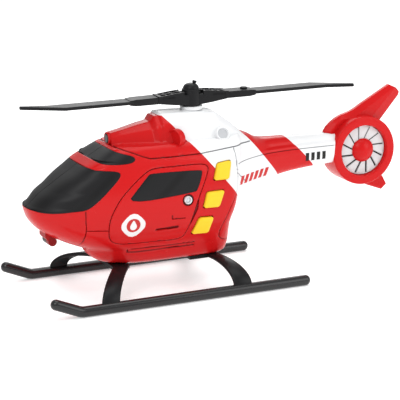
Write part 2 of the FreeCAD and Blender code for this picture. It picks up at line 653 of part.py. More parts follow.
def blade_pins():
    """A rivet through each blade's root."""
    pins = []
    for side in (1, -1):
        shank = rod(1.5, Vector(side * 45, 0, 145.0), Vector(side * 45, 0, 151.0))
        head = rod(2.9, Vector(side * 45, 0, 151.0), Vector(side * 45, 0, 152.4))
        pins.append(turned(shank.fuse(head)))
    return Part.makeCompound(pins)


def hub_cap():
    """Domed cap with a stepped rim over the hub."""
    rim = rod(7.2, Vector(0, 0, 153.0), Vector(0, 0, 154.6))
    top = Part.makeCone(6.4, 3.4, 4.4, Vector(0, 0, 154.6), Vector(0, 0, 1))
    return rim.fuse(top).cut(rod(1.5, Vector(0, 0, 155), Vector(0, 0, 165)))


def hub_knob():
    """Small knob that screws into the cap."""
    stalk = rod(1.45, Vector(0, 0, 155.2), Vector(0, 0, 159.6))
    return stalk.fuse(Part.makeSphere(1.75, Vector(0, 0, 160.15)))


def rotor_mast():
    return rod(MAST_R, Vector(0, 0, 118.0), Vector(0, 0, 150.9))


def mast_collar():
    """White collar round the mast; the mast turns in its bore."""
    collar = rod(8.8, Vector(0, 0, 138.65), Vector(0, 0, 141.3))
    collar = collar.fuse(rod(4.35, Vector(0, 0, 124.0), Vector(0, 0, 138.7)))
    collar = collar.cut(COWL_OUT)
    sleeve = rod(4.35, Vector(0, 0, 124.0), Vector(0, 0, 141.3))
    return one(collar.fuse(sleeve).cut(rod(MAST_R + FIT, Vector(0, 0, 110), Vector(0, 0, 150))))


def mast_retainer():
    """Washer pressed on the mast's lower end, so that it can't lift out."""
    washer = rod(5.0, Vector(0, 0, 121.6), Vector(0, 0, 123.4))
    return washer.cut(rod(MAST_R, Vector(0, 0, 110), Vector(0, 0, 150)))


# ---------------------------------------------------------------- build
SKIDS = skid(1).fuse(skid(-1))
COWL_OUT = cowl_block(0.0)
CAP_OUT = cabin(-BUTTON_PROUD)
CAP_IN = cabin(WALL + 2.6)
FLANGE_OUT = cabin(WALL + 0.4)

os.makedirs("parts", exist_ok=True)

NODES = {
    "fuselage_left": fuselage(1),
    "fuselage_right": fuselage(-1),
    "body_screws": body_screws(),
    "windscreen_left": window(WINDSCREEN, 1),
    "windscreen_right": window(WINDSCREEN, -1),
    "roof_window_left": window(ROOF_WINDOW, 1),
    "roof_window_right": window(ROOF_WINDOW, -1),
    "door_window_left": window(DOOR_WINDOW, 1),
    "door_window_right": window(DOOR_WINDOW, -1),
    "engine_cowling": cowling(),
    "intake_left": intake(1),
    "intake_right": intake(-1),
    "beacon_lens": beacon_lens(),
    "beacon_led": beacon_led(),
    "side_lamp_bezel": side_lamp_bezel(),
    "side_lamp_socket": side_lamp_socket(),
    "side_lamp_lens": side_lamp_lens(),
    "search_light_bracket": search_light_bracket(),
    "search_light": search_light(),
    "battery_door": battery_door(),
    "battery_door_screw": battery_door_screw(),
    "battery_box": battery_box(),
    "battery_cells": battery_cells(),
    "battery_contacts": battery_contacts(),
    "speaker": speaker(),
    "circuit_board": circuit_board(),
    "switches": switches(),
    "sound_chip": sound_chip(),
    "button_top": button("top"),
    "button_middle": button("middle"),
    "button_lower": button("lower"),
    "tail_housing_left": tail_housing(1),
    "tail_housing_right": tail_housing(-1),
    "fan_wheel": fan_wheel(),
    "fan_cap": fan_cap(),
    "fan_axle": fan_axle(),
    "skid_left": skid(1),
    "skid_right": skid(-1),
    "front_arch": arch(FRONT_BAR, FRONT_ROOT, FRONT_FOOT),
    "rear_arch": arch(REAR_BAR, REAR_ROOT, REAR_FOOT),
    "arch_screws": arch_screws(),
    "rotor_hub": rotor_hub(),
    "rotor_blade_front": rotor_blade(1),
    "rotor_blade_rear": rotor_blade(-1),
    "blade_pins": blade_pins(),
    "hub_cap": hub_cap(),
    "hub_knob": hub_knob(),
    "rotor_mast": rotor_mast(),
    "mast_collar": mast_collar(),
    "mast_retainer": mast_retainer(),
}

for node, shape in NODES.items():
    shape = shape.copy()
    shape.translate(Vector(MAST_X, 0, 0))
    shape.exportStep("parts/" + node + ".step")
    print(node, len(shape.Solids), shape.isValid(), round(shape.Volume, 1))
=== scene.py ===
# %% [markdown]
# # A toy rescue helicopter, finished in Blender
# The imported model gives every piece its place, its size and the way it moves. This notebook gives
# the toy its looks: smooth moulded shells with grooves and window rebates, painted areas, tinted
# panes, a finned rotor head and a shrouded tail fan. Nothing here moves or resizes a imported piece.

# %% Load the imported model
import json
import math

import bmesh
import bpy
import numpy as np
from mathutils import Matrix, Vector


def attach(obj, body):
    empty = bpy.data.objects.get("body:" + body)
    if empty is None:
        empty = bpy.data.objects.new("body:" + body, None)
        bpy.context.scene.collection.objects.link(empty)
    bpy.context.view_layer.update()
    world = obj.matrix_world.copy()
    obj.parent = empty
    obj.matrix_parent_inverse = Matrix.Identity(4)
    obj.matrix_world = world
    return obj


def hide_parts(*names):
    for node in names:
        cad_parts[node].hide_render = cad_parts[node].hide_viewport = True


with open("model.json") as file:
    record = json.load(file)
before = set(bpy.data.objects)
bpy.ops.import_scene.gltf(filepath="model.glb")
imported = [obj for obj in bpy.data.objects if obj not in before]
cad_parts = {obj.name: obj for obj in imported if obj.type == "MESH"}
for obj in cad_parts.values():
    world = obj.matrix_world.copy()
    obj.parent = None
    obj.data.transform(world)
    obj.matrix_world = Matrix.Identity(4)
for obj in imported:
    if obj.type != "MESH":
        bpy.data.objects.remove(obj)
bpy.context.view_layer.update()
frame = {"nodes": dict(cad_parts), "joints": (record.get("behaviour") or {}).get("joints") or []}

MM = 0.001
joints = {joint["name"]: joint for joint in frame["joints"]}
MAST_X = joints["rotor_spin"]["pos_m"][0] / MM
FAN_X = joints["tail_fan_spin"]["pos_m"][0] / MM - MAST_X
FAN_Z = joints["tail_fan_spin"]["pos_m"][2] / MM
print("mast at x =", MAST_X, "mm, tail fan at", round(FAN_X, 2), round(FAN_Z, 2))


# %% [markdown]
# ## Working units
# Shapes are worked out in millimetres with x = 0 at the rotor mast, x forward, y to port and z up.
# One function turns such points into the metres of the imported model, so each object can sit at the
# origin with its place in its mesh.

# %% Mesh helpers
def to_world(points):
    """Millimetres about the mast -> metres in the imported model's frame."""
    return (np.asarray(points, float) + [MAST_X, 0.0, 0.0]) * MM


def grid_faces(rows, cols, close_rows=False, close_cols=False, first=0):
    """Quads of a rows x cols grid of vertices, numbered row by row; either way can close on itself."""
    i = np.arange(rows if close_rows else rows - 1)[:, None]
    j = np.arange(cols if close_cols else cols - 1)[None, :]
    i2, j2 = (i + 1) % rows, (j + 1) % cols
    quads = np.stack([i * cols + j, i * cols + j2, i2 * cols + j2, i2 * cols + j], axis=-1)
    return quads.reshape(-1, 4) + first


def new_object(name, points, faces, sharp=35.0):
    """A mesh object at the origin; edges sharper than the angle stay crisp, the rest shade smooth."""
    mesh = bpy.data.meshes.new(name)
    mesh.from_pydata(to_world(points).tolist(), [], [list(map(int, f)) for f in faces])
    mesh.validate()
    obj = bpy.data.objects.new(name, mesh)
    bpy.context.scene.collection.objects.link(obj)
    face_outwards(mesh)
    mesh.shade_smooth()
    mesh.set_sharp_from_angle(angle=math.radians(sharp))
    return obj


def face_outwards(mesh):
    """Recalculates the normals of a closed mesh after its doubled points are merged."""
    bm = bmesh.new()
    bm.from_mesh(mesh)
    bmesh.ops.remove_doubles(bm, verts=bm.verts, dist=1e-6)
    bmesh.ops.recalc_face_normals(bm, faces=bm.faces)
    bm.to_mesh(mesh)
    bm.free()


def finish_piece(obj, body, material, replaced=()):
    """Gives a piece its body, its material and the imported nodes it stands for."""
    obj.data.materials.clear()
    obj.data.materials.append(material)
    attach(obj, body)
    if replaced:
        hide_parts(*replaced)
    print(obj.name, len(obj.data.polygons), "faces")
    return obj


def monotone(x, xs, ys):
    """Cubic curve through (xs, ys) that never overshoots: Hermite pieces with harmonic-mean slopes."""
    xs, ys = np.asarray(xs, float), np.asarray(ys, float)
    h, rise = np.diff(xs), np.diff(ys) / np.diff(xs)
    slope = np.concatenate([[rise[0]], np.zeros(len(xs) - 2), [rise[-1]]])
    same = rise[:-1] * rise[1:] > 0
    w1, w2 = 2 * h[1:] + h[:-1], h[1:] + 2 * h[:-1]
    safe = np.where(same, rise[:-1], 1.0), np.where(same, rise[1:], 1.0)
    slope[1:-1] = np.where(same, (w1 + w2) / (w1 / safe[0] + w2 / safe[1]), 0.0)
    k = np.clip(np.searchsorted(xs, x) - 1, 0, len(h) - 1)
    t = (x - xs[k]) / h[k]
    return ((1 + 2 * t) * (1 - t) ** 2 * ys[k] + t * (1 - t) ** 2 * h[k] * slope[k]
            + t * t * (3 - 2 * t) * ys[k + 1] + t * t * (t - 1) * h[k] * slope[k + 1])


def soft_step(d, low, high):
    """0 below low, 1 above high, an S curve between."""
    t = np.clip((d - low) / (high - low), 0.0, 1.0)
    return t * t * (3 - 2 * t)


# %% [markdown]
# ## Camera, light and floor
# The toy stands on a plain white table under broad soft lamps. The camera is a long lens that looks
# at the port side, a little from the front and from above.

# %% Camera
def look_from(azimuth, elevation, distance, target, lens, roll):
    """A camera on a sphere round its target; azimuth 0 looks along +y."""
    a, e = math.radians(azimuth), math.radians(elevation)
    back = Vector((math.sin(a) * math.cos(e), -math.cos(a) * math.cos(e), math.sin(e)))
    data = bpy.data.cameras.new("camera")
    data.lens = lens
    data.sensor_width = 36.0
    data.clip_end = 20.0
    camera = bpy.data.objects.new("camera", data)
    bpy.context.scene.collection.objects.link(camera)
    camera.location = Vector(target) + back * distance
    camera.rotation_euler = (-back).to_track_quat("-Z", "Y").to_euler()
    camera.rotation_euler.rotate_axis("Z", math.radians(roll))
    bpy.context.scene.camera = camera
    return camera


CAMERA_TARGET = Vector(to_world([-7.25, 0.0, 63.87]))
camera = look_from(155.1347, 14.4587, 1.5433, CAMERA_TARGET, 175.1, -0.3644)
print("camera at", np.round(camera.location, 3).tolist())


# %% [markdown]
# ## Light and floor
# Large square lamps give the soft, nearly shadowless light of a product picture. The floor is a
# pale sheet just under the skids.

# %% Lamps, surroundings and floor
def soft_lamp(name, place, size, power, aim=(0.0, 0.0, 0.07)):
    """A square area lamp that points at the toy."""
    data = bpy.data.lights.new(name, "AREA")
    data.size = size
    data.energy = power
    lamp = bpy.data.objects.new(name, data)
    bpy.context.scene.collection.objects.link(lamp)
    lamp.location = place
    lamp.rotation_euler = (Vector(place) - Vector(aim)).to_track_quat("Z", "Y").to_euler()
    return lamp


soft_lamp("key_lamp", (0.75, 0.75, 1.05), 0.7, 6.0)
soft_lamp("fill_lamp", (-0.9, 0.9, 0.6), 0.9, 5.0)
soft_lamp("top_lamp", (-0.1, 0.0, 1.3), 1.0, 6.0)
soft_lamp("rim_lamp", (-0.4, -1.0, 0.8), 0.8, 5.0)

world = bpy.data.worlds.new("studio")
bpy.context.scene.world = world
world.use_nodes = True
world.node_tree.nodes["Background"].inputs["Color"].default_value = (1.0, 1.0, 1.0, 1.0)
world.node_tree.nodes["Background"].inputs["Strength"].default_value = 0.6
bpy.context.scene.view_settings.view_transform = "Standard"


def make_floor():
    """A large level square just under the skids."""
    half, low = 3000.0, -0.05
    corners = [(-half, -half, low), (half, -half, low), (half, half, low), (-half, half, low)]
    floor = new_object("floor", corners, [(0, 1, 2, 3)])
    paper = bpy.data.materials.new("white_table")
    paper.use_nodes = True
    shader = paper.node_tree.nodes["Principled BSDF"]
    shader.inputs["Base Color"].default_value = (0.93, 0.93, 0.93, 1.0)
    shader.inputs["Roughness"].default_value = 0.6
    shader.inputs["Emission Color"].default_value = (1.0, 1.0, 1.0, 1.0)
    shader.inputs["Emission Strength"].default_value = 0.35
    floor.data.materials.append(paper)
    return floor


make_floor()


# %% [markdown]
# ## Moulded plastic
# Almost everything on this toy is moulded plastic, so one recipe is used with different values: a
# base colour that drifts by a few percent, a gloss that is broken by faint handling marks, and a
# very fine grain in the bump. Painted hull pieces choose between two such colours by a mask that is
# a plain formula of position, so the paint edge is crisp at any distance.

# %% Material recipe
class Nodes:
    """Short names for building a node tree."""

    def __init__(self, name):
        self.material = bpy.data.materials.new(name)
        self.material.use_nodes = True
        self.tree = self.material.node_tree
        self.shader = self.tree.nodes["Principled BSDF"]

    def add(self, kind, **inputs):
        """A new node with its sockets linked or set by name."""
        node = self.tree.nodes.new(kind)
        for key, value in inputs.items():
            self.put(node, key.replace("_", " "), value)
        return node

    def put(self, node, key, value):
        """Links a socket or sets a number; a plain colour gets its fourth channel."""
        socket = node.inputs[int(key)] if key.isdigit() else node.inputs[key]
        if isinstance(value, bpy.types.NodeSocket):
            self.tree.links.new(value, socket)
        elif socket.type == "RGBA":
            socket.default_value = (*value[:3], 1.0)
        else:
            socket.default_value = value

    def math(self, operation, *values):
        """Output of a Math node."""
        node = self.tree.nodes.new("ShaderNodeMath")
        node.operation = operation
        for index, value in enumerate(values):
            self.put(node, str(index), value)
        return node.outputs[0]

    def position(self):
        """x, y and z of the point in metres, from the piece's own coordinates."""
        coords = self.tree.nodes.new("ShaderNodeTexCoord").outputs["Object"]
        split = self.add("ShaderNodeSeparateXYZ", Vector=coords)
        return coords, split.outputs[0], split.outputs[1], split.outputs[2]

    def noise(self, coords, scale, detail=3.0, roughness=0.55):
        """Noise between 0 and 1; the scale counts bumps per metre."""
        node = self.add("ShaderNodeTexNoise", Vector=coords, Scale=scale, Detail=detail, Roughness=roughness)
        return node.outputs["Fac"]

    def spread(self, value, low, high, to_low, to_high):
        """Carries the range low..high over to to_low..to_high, clamped at both ends."""
        node = self.tree.nodes.new("ShaderNodeMapRange")
        for index, number in enumerate((value, low, high, to_low, to_high)):
            self.put(node, str(index), number)
        return node.outputs[0]

    def mix(self, factor, first, second):
        """The first colour at factor 0, the second at 1."""
        node = self.tree.nodes.new("ShaderNodeMix")
        node.data_type = "RGBA"
        for socket, value in (("0", factor), ("6", first), ("7", second)):
            self.put(node, socket, value)
        return node.outputs[2]


def moulded_finish(nodes, colour, gloss, grain=0.006, drift=0.04, marks=0.04, shine=0.15):
    """Colour drift, uneven gloss and fine grain, laid over any base colour (a tuple or a socket)."""
    coords = nodes.position()[0]
    broad = nodes.noise(coords, 28.0, 2.0)
    fine = nodes.noise(coords, 900.0, 3.0)
    smudge = nodes.noise(coords, 95.0, 5.0, 0.65)
    shade = nodes.spread(broad, 0.3, 0.7, 1.0 - drift, 1.0)
    tint = nodes.add("ShaderNodeHueSaturation", Value=shade, Color=colour)
    nodes.put(nodes.shader, "Base Color", tint.outputs[0])
    nodes.shader.inputs["Specular IOR Level"].default_value = shine
    rough = nodes.spread(smudge, 0.35, 0.75, gloss, gloss + marks)
    nodes.put(nodes.shader, "Roughness", rough)
    bump = nodes.add("ShaderNodeBump", Strength=grain, Distance=0.0004, Height=fine)
    nodes.put(nodes.shader, "Normal", bump.outputs[0])
    return nodes.material


def plain_plastic(name, colour, gloss, coat=0.0, **more):
    """A moulded finish of one colour, with a clear coat if asked for."""
    nodes = Nodes(name)
    nodes.shader.inputs["Coat Weight"].default_value = coat
    nodes.shader.inputs["Coat Roughness"].default_value = 0.08
    return moulded_finish(nodes, colour, gloss, **more)


RED = (0.56, 0.008, 0.009)
WHITE = (0.80, 0.81, 0.82)


# %% [markdown]
# ## The hull's shape
# The cabin is described level by level: how far it reaches forward and back, and how wide it is.
# Between the levels a curve that never overshoots fills in. The boom is described station by
# station. The hull's half width at any (x, z) is the larger of the two, with a soft fillet where
# they meet, and that one function places every groove, pane, button and badge on the skin.

# %% Cabin levels and boom stations
CABIN = np.array([
    (25.0, 77.0, -21.5, 19.5), (27.5, 84.0, -23.5, 23.5), (33.0, 90.5, -25.0, 26.0),
    (38.0, 94.0, -25.3, 28.0), (42.0, 103.4, -25.1, 30.0), (46.0, 112.5, -25.0, 31.7),
    (50.0, 120.2, -25.1, 33.2), (55.0, 127.8, -26.0, 35.2), (61.0, 134.1, -28.0, 36.8),
    (68.0, 138.3, -29.8, 37.8), (75.0, 139.9, -30.8, 38.0), (77.5, 136.5, -31.0, 37.9),
    (84.0, 129.6, -31.4, 37.4), (90.0, 120.4, -31.9, 36.6), (96.0, 111.3, -32.5, 35.4),
    (101.0, 102.9, -33.6, 34.0), (105.0, 96.6, -34.4, 33.2), (109.0, 89.0, -35.2, 31.5),
    (112.5, 82.8, -35.8, 29.5), (116.0, 76.4, -36.0, 27.0), (118.0, 72.0, -36.0, 25.0),
])
BOOM = np.array([
    (-122.0, 11.6, 83.0, 107.6), (-104.0, 12.0, 82.0, 108.4), (-86.0, 12.6, 80.4, 109.0),
    (-72.0, 13.8, 78.2, 109.4), (-62.0, 15.6, 75.4, 109.8), (-54.0, 17.8, 72.7, 111.6),
    (-47.0, 20.5, 70.0, 115.6), (-38.0, 24.5, 66.6, 118.2), (-26.0, 30.0, 63.0, 119.0),
    (-14.0, 33.5, 58.0, 119.0),
])
NOSE_LENGTH, REAR_LENGTH = 36.0, 15.0
FILLET = 6.0
BOOM_END = -128.3


def nose_power(z):
    """Exponent of the nose's plan curve: it grows squarer above the waterline and at the roof."""
    return 2.35 + 0.35 * np.clip((z - 75) / 8, 0, 1) + 2.3 * np.clip((z - 88) / 20, 0, 1)


def cabin_width(x, z):
    """Half width of the cabin: its level's width, narrowed by superellipse ends fore and aft."""
    front, rear, width = (monotone(z, CABIN[:, 0], CABIN[:, k]) for k in (1, 2, 3))
    fore = np.clip((x - front + NOSE_LENGTH) / NOSE_LENGTH, 0, 1)
    aft = np.clip((rear + REAR_LENGTH - x) / REAR_LENGTH, 0, 1)
    bulge = np.where(x > 20, 1 - 0.17 * ((x - 20) / 90) ** 2, 1 - 0.06 * ((20 - x) / 45) ** 2)
    power = nose_power(z)
    half = width * bulge * (1 - fore ** power) ** (1 / power) * (1 - aft ** 2.6) ** (1 / 2.6)
    return np.where((z >= CABIN[0, 0]) & (z <= CABIN[-1, 0]), half, 0.0)


def boom_width(x, z):
    """Half width of the boom: a boxy superellipse with a ledge below its narrower top."""
    width, low, high = (monotone(np.clip(x, -122.0, -14.0), BOOM[:, 0], BOOM[:, k]) for k in (1, 2, 3))
    middle = low + 0.45 * (high - low)
    reach = np.where(z > middle, high - middle, middle - low)
    t = np.clip(np.abs(z - middle) / reach, 0, 1)
    half = width * (1 - t ** 2.56) ** (1 / 2.78)
    ledge = soft_step(z, 101.2, 103.6) * soft_step(-x, 52.0, 66.0)
    half = half * (1 - 0.16 * ledge)
    return np.where((x <= BOOM[-1, 0]) & (x >= BOOM_END), half, 0.0)


def hull_width(x, z):
    """The larger half width, plus a fillet that swells where both are nearly equal, behind the buttons."""
    a, b = cabin_width(x, z), boom_width(x, z)
    near = np.clip(FILLET - np.abs(a - b), 0, None) / FILLET
    both = np.clip(np.minimum(a, b) / FILLET, 0, 1)
    return np.maximum(a, b) + near ** 2 * FILLET / 4 * both * soft_step(-x, 15.0, 24.0)


print("half width beside the door:", round(float(hull_width(np.array(30.0), np.array(72.0))), 2))


# %% [markdown]
# ## Rays from a spine
# A skin needs an even net of points, also round the blunt nose and the steep rear wall. Rays are
# sent out from a spine inside the hull, fanned round each station, and the point where a ray
# leaves the hull is found by halving. Behind the door the lower rays swing backwards, so that they
# sweep over the rear wall instead of running along it.

# %% Stations and rays
STATIONS = 300
AROUND = 145
INNER_EVERY = 4
WALL = 2.0
LONGEST_RAY = 90.0
SPINE = [(0.0, 139.75), (0.03, 138.6), (0.10, 133.0), (0.27, 104.0), (0.60, 0.0), (0.74, -22.0),
         (1.0, -128.2)]


def spine(u):
    """Station centre (x, z) and how far the lower rays lean back, for u from 0 (nose) to 1 (boom end)."""
    x = np.interp(u, *np.transpose(SPINE))
    bottom = monotone(x, CABIN[:11, 1], CABIN[:11, 0])
    top = monotone(-x, -CABIN[10:, 1], CABIN[10:, 0])
    ahead = 0.5 * (np.clip(bottom, 25, 75) + np.clip(top, 75, 118))
    z = np.where(x > 72, ahead, np.interp(x, [-22.0, 20.0, 72.0], [95.0, 76.0, 72.5]))
    lean = np.interp(x, [-70.0, -24.0, -2.0], [0.0, 27.0, 0.0])
    return x, z, np.radians(lean)


def ray_net(count_around):
    """Origins and unit directions of all rays of the port half, from straight down to straight up."""
    u = np.linspace(0, 1, STATIONS)
    x, z, lean = spine(u)
    phi = np.radians(np.linspace(-90, 90, count_around))
    origin = np.stack([x, np.zeros_like(x), z], -1)[:, None, :] * np.ones((1, count_around, 1))
    down = np.clip(-np.sin(phi), 0, None)[None, :]
    up = np.clip(np.sin(phi), 0, None)[None, :]
    direction = np.stack([-np.sin(lean)[:, None] * down,
                          np.cos(phi)[None, :] * np.ones((STATIONS, 1)),
                          up - np.cos(lean)[:, None] * down], -1)
    direction[:, 0, 1] = direction[:, -1, 1] = 0.0
    return origin, direction


def skin_distance(origin, direction, rounds=34):
    """Length of each ray inside the hull, by halving an interval."""
    low = np.zeros(origin.shape[:2])
    high = np.full(origin.shape[:2], LONGEST_RAY)
    for _ in range(rounds):
        middle = 0.5 * (low + high)
        p = origin + direction * middle[..., None]
        inside = p[..., 1] < hull_width(p[..., 0], p[..., 2]) - 1e-9
        low, high = np.where(inside, middle, low), np.where(inside, high, middle)
    return low


ray_origin, ray_direction = ray_net(AROUND)
ray_length = skin_distance(ray_origin, ray_direction)
print("skin net:", STATIONS, "x", AROUND, "longest ray", round(float(ray_length.max()), 1))


# %% [markdown]
# ## Panel lines and rebates
# The doors of this toy don't open: their outlines are grooves in the mould. The same holds for the
# nose panel, the cowling's joint and the lines on the boom. Windows, buttons and the lamp sit in
# rebates. Each is an outline in the side view, and each point of the skin is pushed in by a depth
# that depends only on its distance from the outline.

# %% Outlines in the side view (x, z)
DOOR = [(84.3, 58), (84.2, 64), (81.7, 71.2), (75.8, 81.5), (63.9, 92.6), (53.3, 100.2), (46, 102.6),
        (24.9, 102.4), (5.6, 102.2), (1.2, 99.6), (2.4, 94.5), (10.2, 78.6), (14.5, 67.1), (18.8, 51.5),
        (21.6, 45.4), (27, 43.2), (49.5, 44.0), (73, 44.2), (81, 47.2), (83.8, 52.5)]
NOSE_PANEL = [(102.9, 74.6), (102.6, 66.7), (101.9, 58.5), (102.6, 51.3), (103.5, 45.4), (104.4, 42.6)]
WAIST_LINE = [(102.0, 59.0), (84.3, 57.4)]
BOOM_LINE = [(-26.6, 97.8), (-37.8, 99.1), (-53.5, 99.4), (-88.4, 99.5), (-121.5, 99.1)]
REAR_LINE = [(-23.1, 111.4), (-23.5, 106.1), (-24.5, 98.6), (-25.0, 92.6), (-24.9, 84.5), (-24.4, 78.9),
             (-22.8, 73.8), (-17.7, 66.7), (-12.3, 53.3), (-9.4, 44.8), (-10.4, 39.6), (-15.4, 37.0),
             (-21, 36.6)]
REAR_SPUR = [(-25.0, 91.4), (-30.6, 86.4), (-34.6, 82.4)]
HANDLE = [(33.4, 64.6), (33.2, 61.7), (22.3, 61.4)]
SLOT = [(45.6, 53.9), (27.8, 54.4)]
SILL = [(66.8, 38.6), (66.6, 36.0), (39.9, 36.2), (11, 36.2)]
SILL_TOP = [(64.0, 39.0), (39.9, 38.8), (11, 38.8)]
FINGER_RECESS = [(10.6, 76.5), (14.2, 66.5), (18.0, 53.5), (20.2, 48.5), (16.2, 57.5), (11.6, 68.0)]
COWL_JOINT = [(71, 118.2), (60, 114.4), (54.5, 111.9), (48, 109.8), (28, 109.5), (7, 109.6), (-6.4, 110.5),
              (-22.6, 111.6), (-43.3, 111.7)]
WINDSCREEN = [(150, 75.2), (138.7, 75.1), (133.9, 73.8), (123.5, 73.8), (112, 75.0), (101, 75.3),
              (91.5, 82.2), (82, 90.6), (74.4, 97.8), (73.4, 100.6), (75.4, 102.6), (84, 103.8),
              (97.2, 104.9), (112, 116), (150, 116)]
ROOF_WINDOW = [(60.0, 110.7), (61.4, 108.8), (65.3, 107.5), (75.2, 107.4), (85.4, 108.2), (88.6, 109.2),
               (94, 113), (84, 123), (75.5, 116.6), (67.4, 114.3), (62.1, 112.8)]
DOOR_WINDOW = [(71.3, 77.2), (60.5, 89.0), (51.6, 97.9), (49, 99.0), (8.4, 97.9), (6.2, 96.2),
               (11.8, 82.6), (14.4, 81.2)]
BUTTONS = {"top": [(-6.5, 100.9), (-2.2, 88.7), (-15.2, 88.4), (-18.4, 102.0)],
           "middle": [(4.0, 80.1), (7.3, 68.0), (-6.1, 67.5), (-10.8, 80.1)],
           "lower": [(10.3, 60.3), (15.3, 46.8), (1.1, 46.2), (-1.6, 59.7)]}
SIDE_LAMP = (20.1, 75.6)
SCREWS = [(104.0, 66.0), (84.0, 52.0), (52.0, 104.0), (-16.0, 62.0), (-60.0, 94.0), (-104.0, 95.0)]
SPEAKER, SPEAKER_RING, SPEAKER_HOLE = (36.0, 62.0), 5.0, 0.9
BUTTON_HALF = 6.6


def round_corners(path, rounds=3, closed=True, keep=0.25):
    """Cuts each corner by a quarter of its two sides, a few times over: a soft corner of any shape."""
    p = np.asarray(path, float)
    for _ in range(rounds):
        after = np.roll(p, -1, 0) if closed else p[1:]
        start = p if closed else p[:-1]
        pair = np.stack([start + (after - start) * keep, start + (after - start) * (1 - keep)], 1)
        middle = pair.reshape(-1, 2)
        p = middle if closed else np.concatenate([p[:1], middle[1:-1], p[-1:]])
    return p


def path_distance(points, path, closed=False):
    """Distance from each (x, z) point to the nearest place on a path."""
    p = np.asarray(path, float)
    q = np.roll(p, -1, 0) if closed else p[1:]
    a = p if closed else p[:-1]
    best = np.full(len(points), 1e9)
    for start, end in zip(a, q):
        run = end - start
        t = np.clip(((points - start) @ run) / max(run @ run, 1e-12), 0, 1)
        best = np.minimum(best, np.linalg.norm(points - start - t[:, None] * run, axis=1))
    return best


def inside_path(points, path):
    """True for points inside a closed outline: a ray to one side crosses it an odd number of times."""
    p = np.asarray(path, float)
    hit = np.zeros(len(points), bool)
    for (x0, z0), (x1, z1) in zip(p, np.roll(p, -1, 0)):
        if z0 == z1:
            continue
        crosses = ((z0 > points[:, 1]) != (z1 > points[:, 1]))
        at = x0 + (points[:, 1] - z0) * (x1 - x0) / (z1 - z0)
        hit ^= crosses & (points[:, 0] < at)
    return hit


def signed_distance(points, path):
    """Distance to a closed outline, negative inside."""
    d = path_distance(points, path, closed=True)
    return np.where(inside_path(points, path), -d, d)


def button_outline(name, gap):
    """A button's four corners, moved out from their middle by a gap and rounded."""
    corners = np.array(BUTTONS[name])
    middle = corners.mean(0)
    return round_corners(middle + (corners - middle) * (1 + gap / BUTTON_HALF), 3, True, 0.09)


def circle(centre, radius, count=28):
    """A round outline in the side view."""
    a = np.linspace(0, 2 * np.pi, count, endpoint=False)
    return np.stack([centre[0] + radius * np.cos(a), centre[1] + radius * np.sin(a)], -1)


def hull_features(side):
    """Grooves as (path, half width, depth) and rebates as (outline, depth) for one half."""
    line = 0.42
    grooves = [(round_corners(DOOR, 2), line, 0.75), (round_corners(NOSE_PANEL, 2, False), line, 0.7),
               (WAIST_LINE, line, 0.7), (round_corners(BOOM_LINE, 2, False), line, 0.6),
               (round_corners(REAR_LINE, 2, False), line, 0.7), (REAR_SPUR, line, 0.6),
               (round_corners(SILL, 1, False), 0.7, 0.9), (SILL_TOP, 0.5, 0.7), (COWL_JOINT, 0.5, 0.9)]
    rebates = [(round_corners(WINDSCREEN, 2), 1.0), (round_corners(ROOF_WINDOW, 2), 1.0),
               (round_corners(DOOR_WINDOW, 2), 1.2), (FINGER_RECESS, 1.2)]
    if side > 0:
        grooves += [(HANDLE, 0.5, 0.8), (SLOT, 1.1, 1.6)]
        rebates += [(button_outline(name, 0.6), 1.8) for name in BUTTONS]
        rebates += [(circle(SIDE_LAMP, 4.7), 1.9)]
    else:
        rebates += [(circle(place, 2.6), 1.9) for place in SCREWS]
        turns = [k * math.pi / 3 for k in range(6)]
        sound_holes = [(SPEAKER[0] + SPEAKER_RING * math.cos(a), SPEAKER[1] + SPEAKER_RING * math.sin(a))
                       for a in turns]
        rebates += [(circle(place, SPEAKER_HOLE, 12), 1.5) for place in sound_holes]
    return grooves, rebates


# %% [markdown]
# ## Building a hull half
# The skin is dense, the inner wall is plain, and strips along the seam and the boom's end join the
# two, so each half is a closed moulding with a real wall. Before the grooves are pressed in, the
# edges near each outline are cut in four, so the net is fine only where it has to be.

# %% Hull half
LOOP_POINTS = 60
NOSE_TIP, NOSE_TIP_INSIDE = (139.9, 0.0, 75.0), (137.6, 0.0, 75.0)


def is_loop(path):
    """Only the rounded door outline closes on itself, and only it has this many points."""
    return len(path) > LOOP_POINTS


def closed_half(side):
    """Points and faces of one half: outer net, inner net every fourth ray, seam and end strips."""
    outer = ray_origin + ray_direction * ray_length[..., None]
    inner_length = np.maximum(ray_length - WALL, 0.3 * ray_length)
    inner = (ray_origin + ray_direction * inner_length[..., None])[:, ::INNER_EVERY]
    tips = np.array([NOSE_TIP, NOSE_TIP_INSIDE])
    cols = inner.shape[1]
    points = np.concatenate([outer.reshape(-1, 3), inner.reshape(-1, 3), tips])
    points[:, 1] *= side
    first = STATIONS * AROUND
    tip_out, tip_in = len(points) - 2, len(points) - 1
    faces = grid_faces(STATIONS, AROUND).tolist() + grid_faces(STATIONS, cols, first=first)[:, ::-1].tolist()
    j = np.arange(AROUND - 1)
    faces += np.stack([j + 1, j, np.full_like(j, tip_out)], -1).tolist()
    k = np.arange(cols - 1)
    faces += np.stack([first + k, first + k + 1, np.full_like(k, tip_in)], -1).tolist()
    for a, b in ((0, 0), (AROUND - 1, cols - 1)):
        i = np.arange(STATIONS - 1)
        o0, o1 = i * AROUND + a, (i + 1) * AROUND + a
        n0, n1 = first + i * cols + b, first + (i + 1) * cols + b
        faces += np.stack([o0, o1, n1, n0], -1).tolist()
        faces.append([a, first + b, tip_in, tip_out])
    last, last_in = (STATIONS - 1) * AROUND, first + (STATIONS - 1) * cols
    for step in range(cols - 1):
        rim = [last + step * INNER_EVERY + m for m in range(INNER_EVERY + 1)]
        faces.append(rim + [last_in + step + 1, last_in + step])
    return points, faces


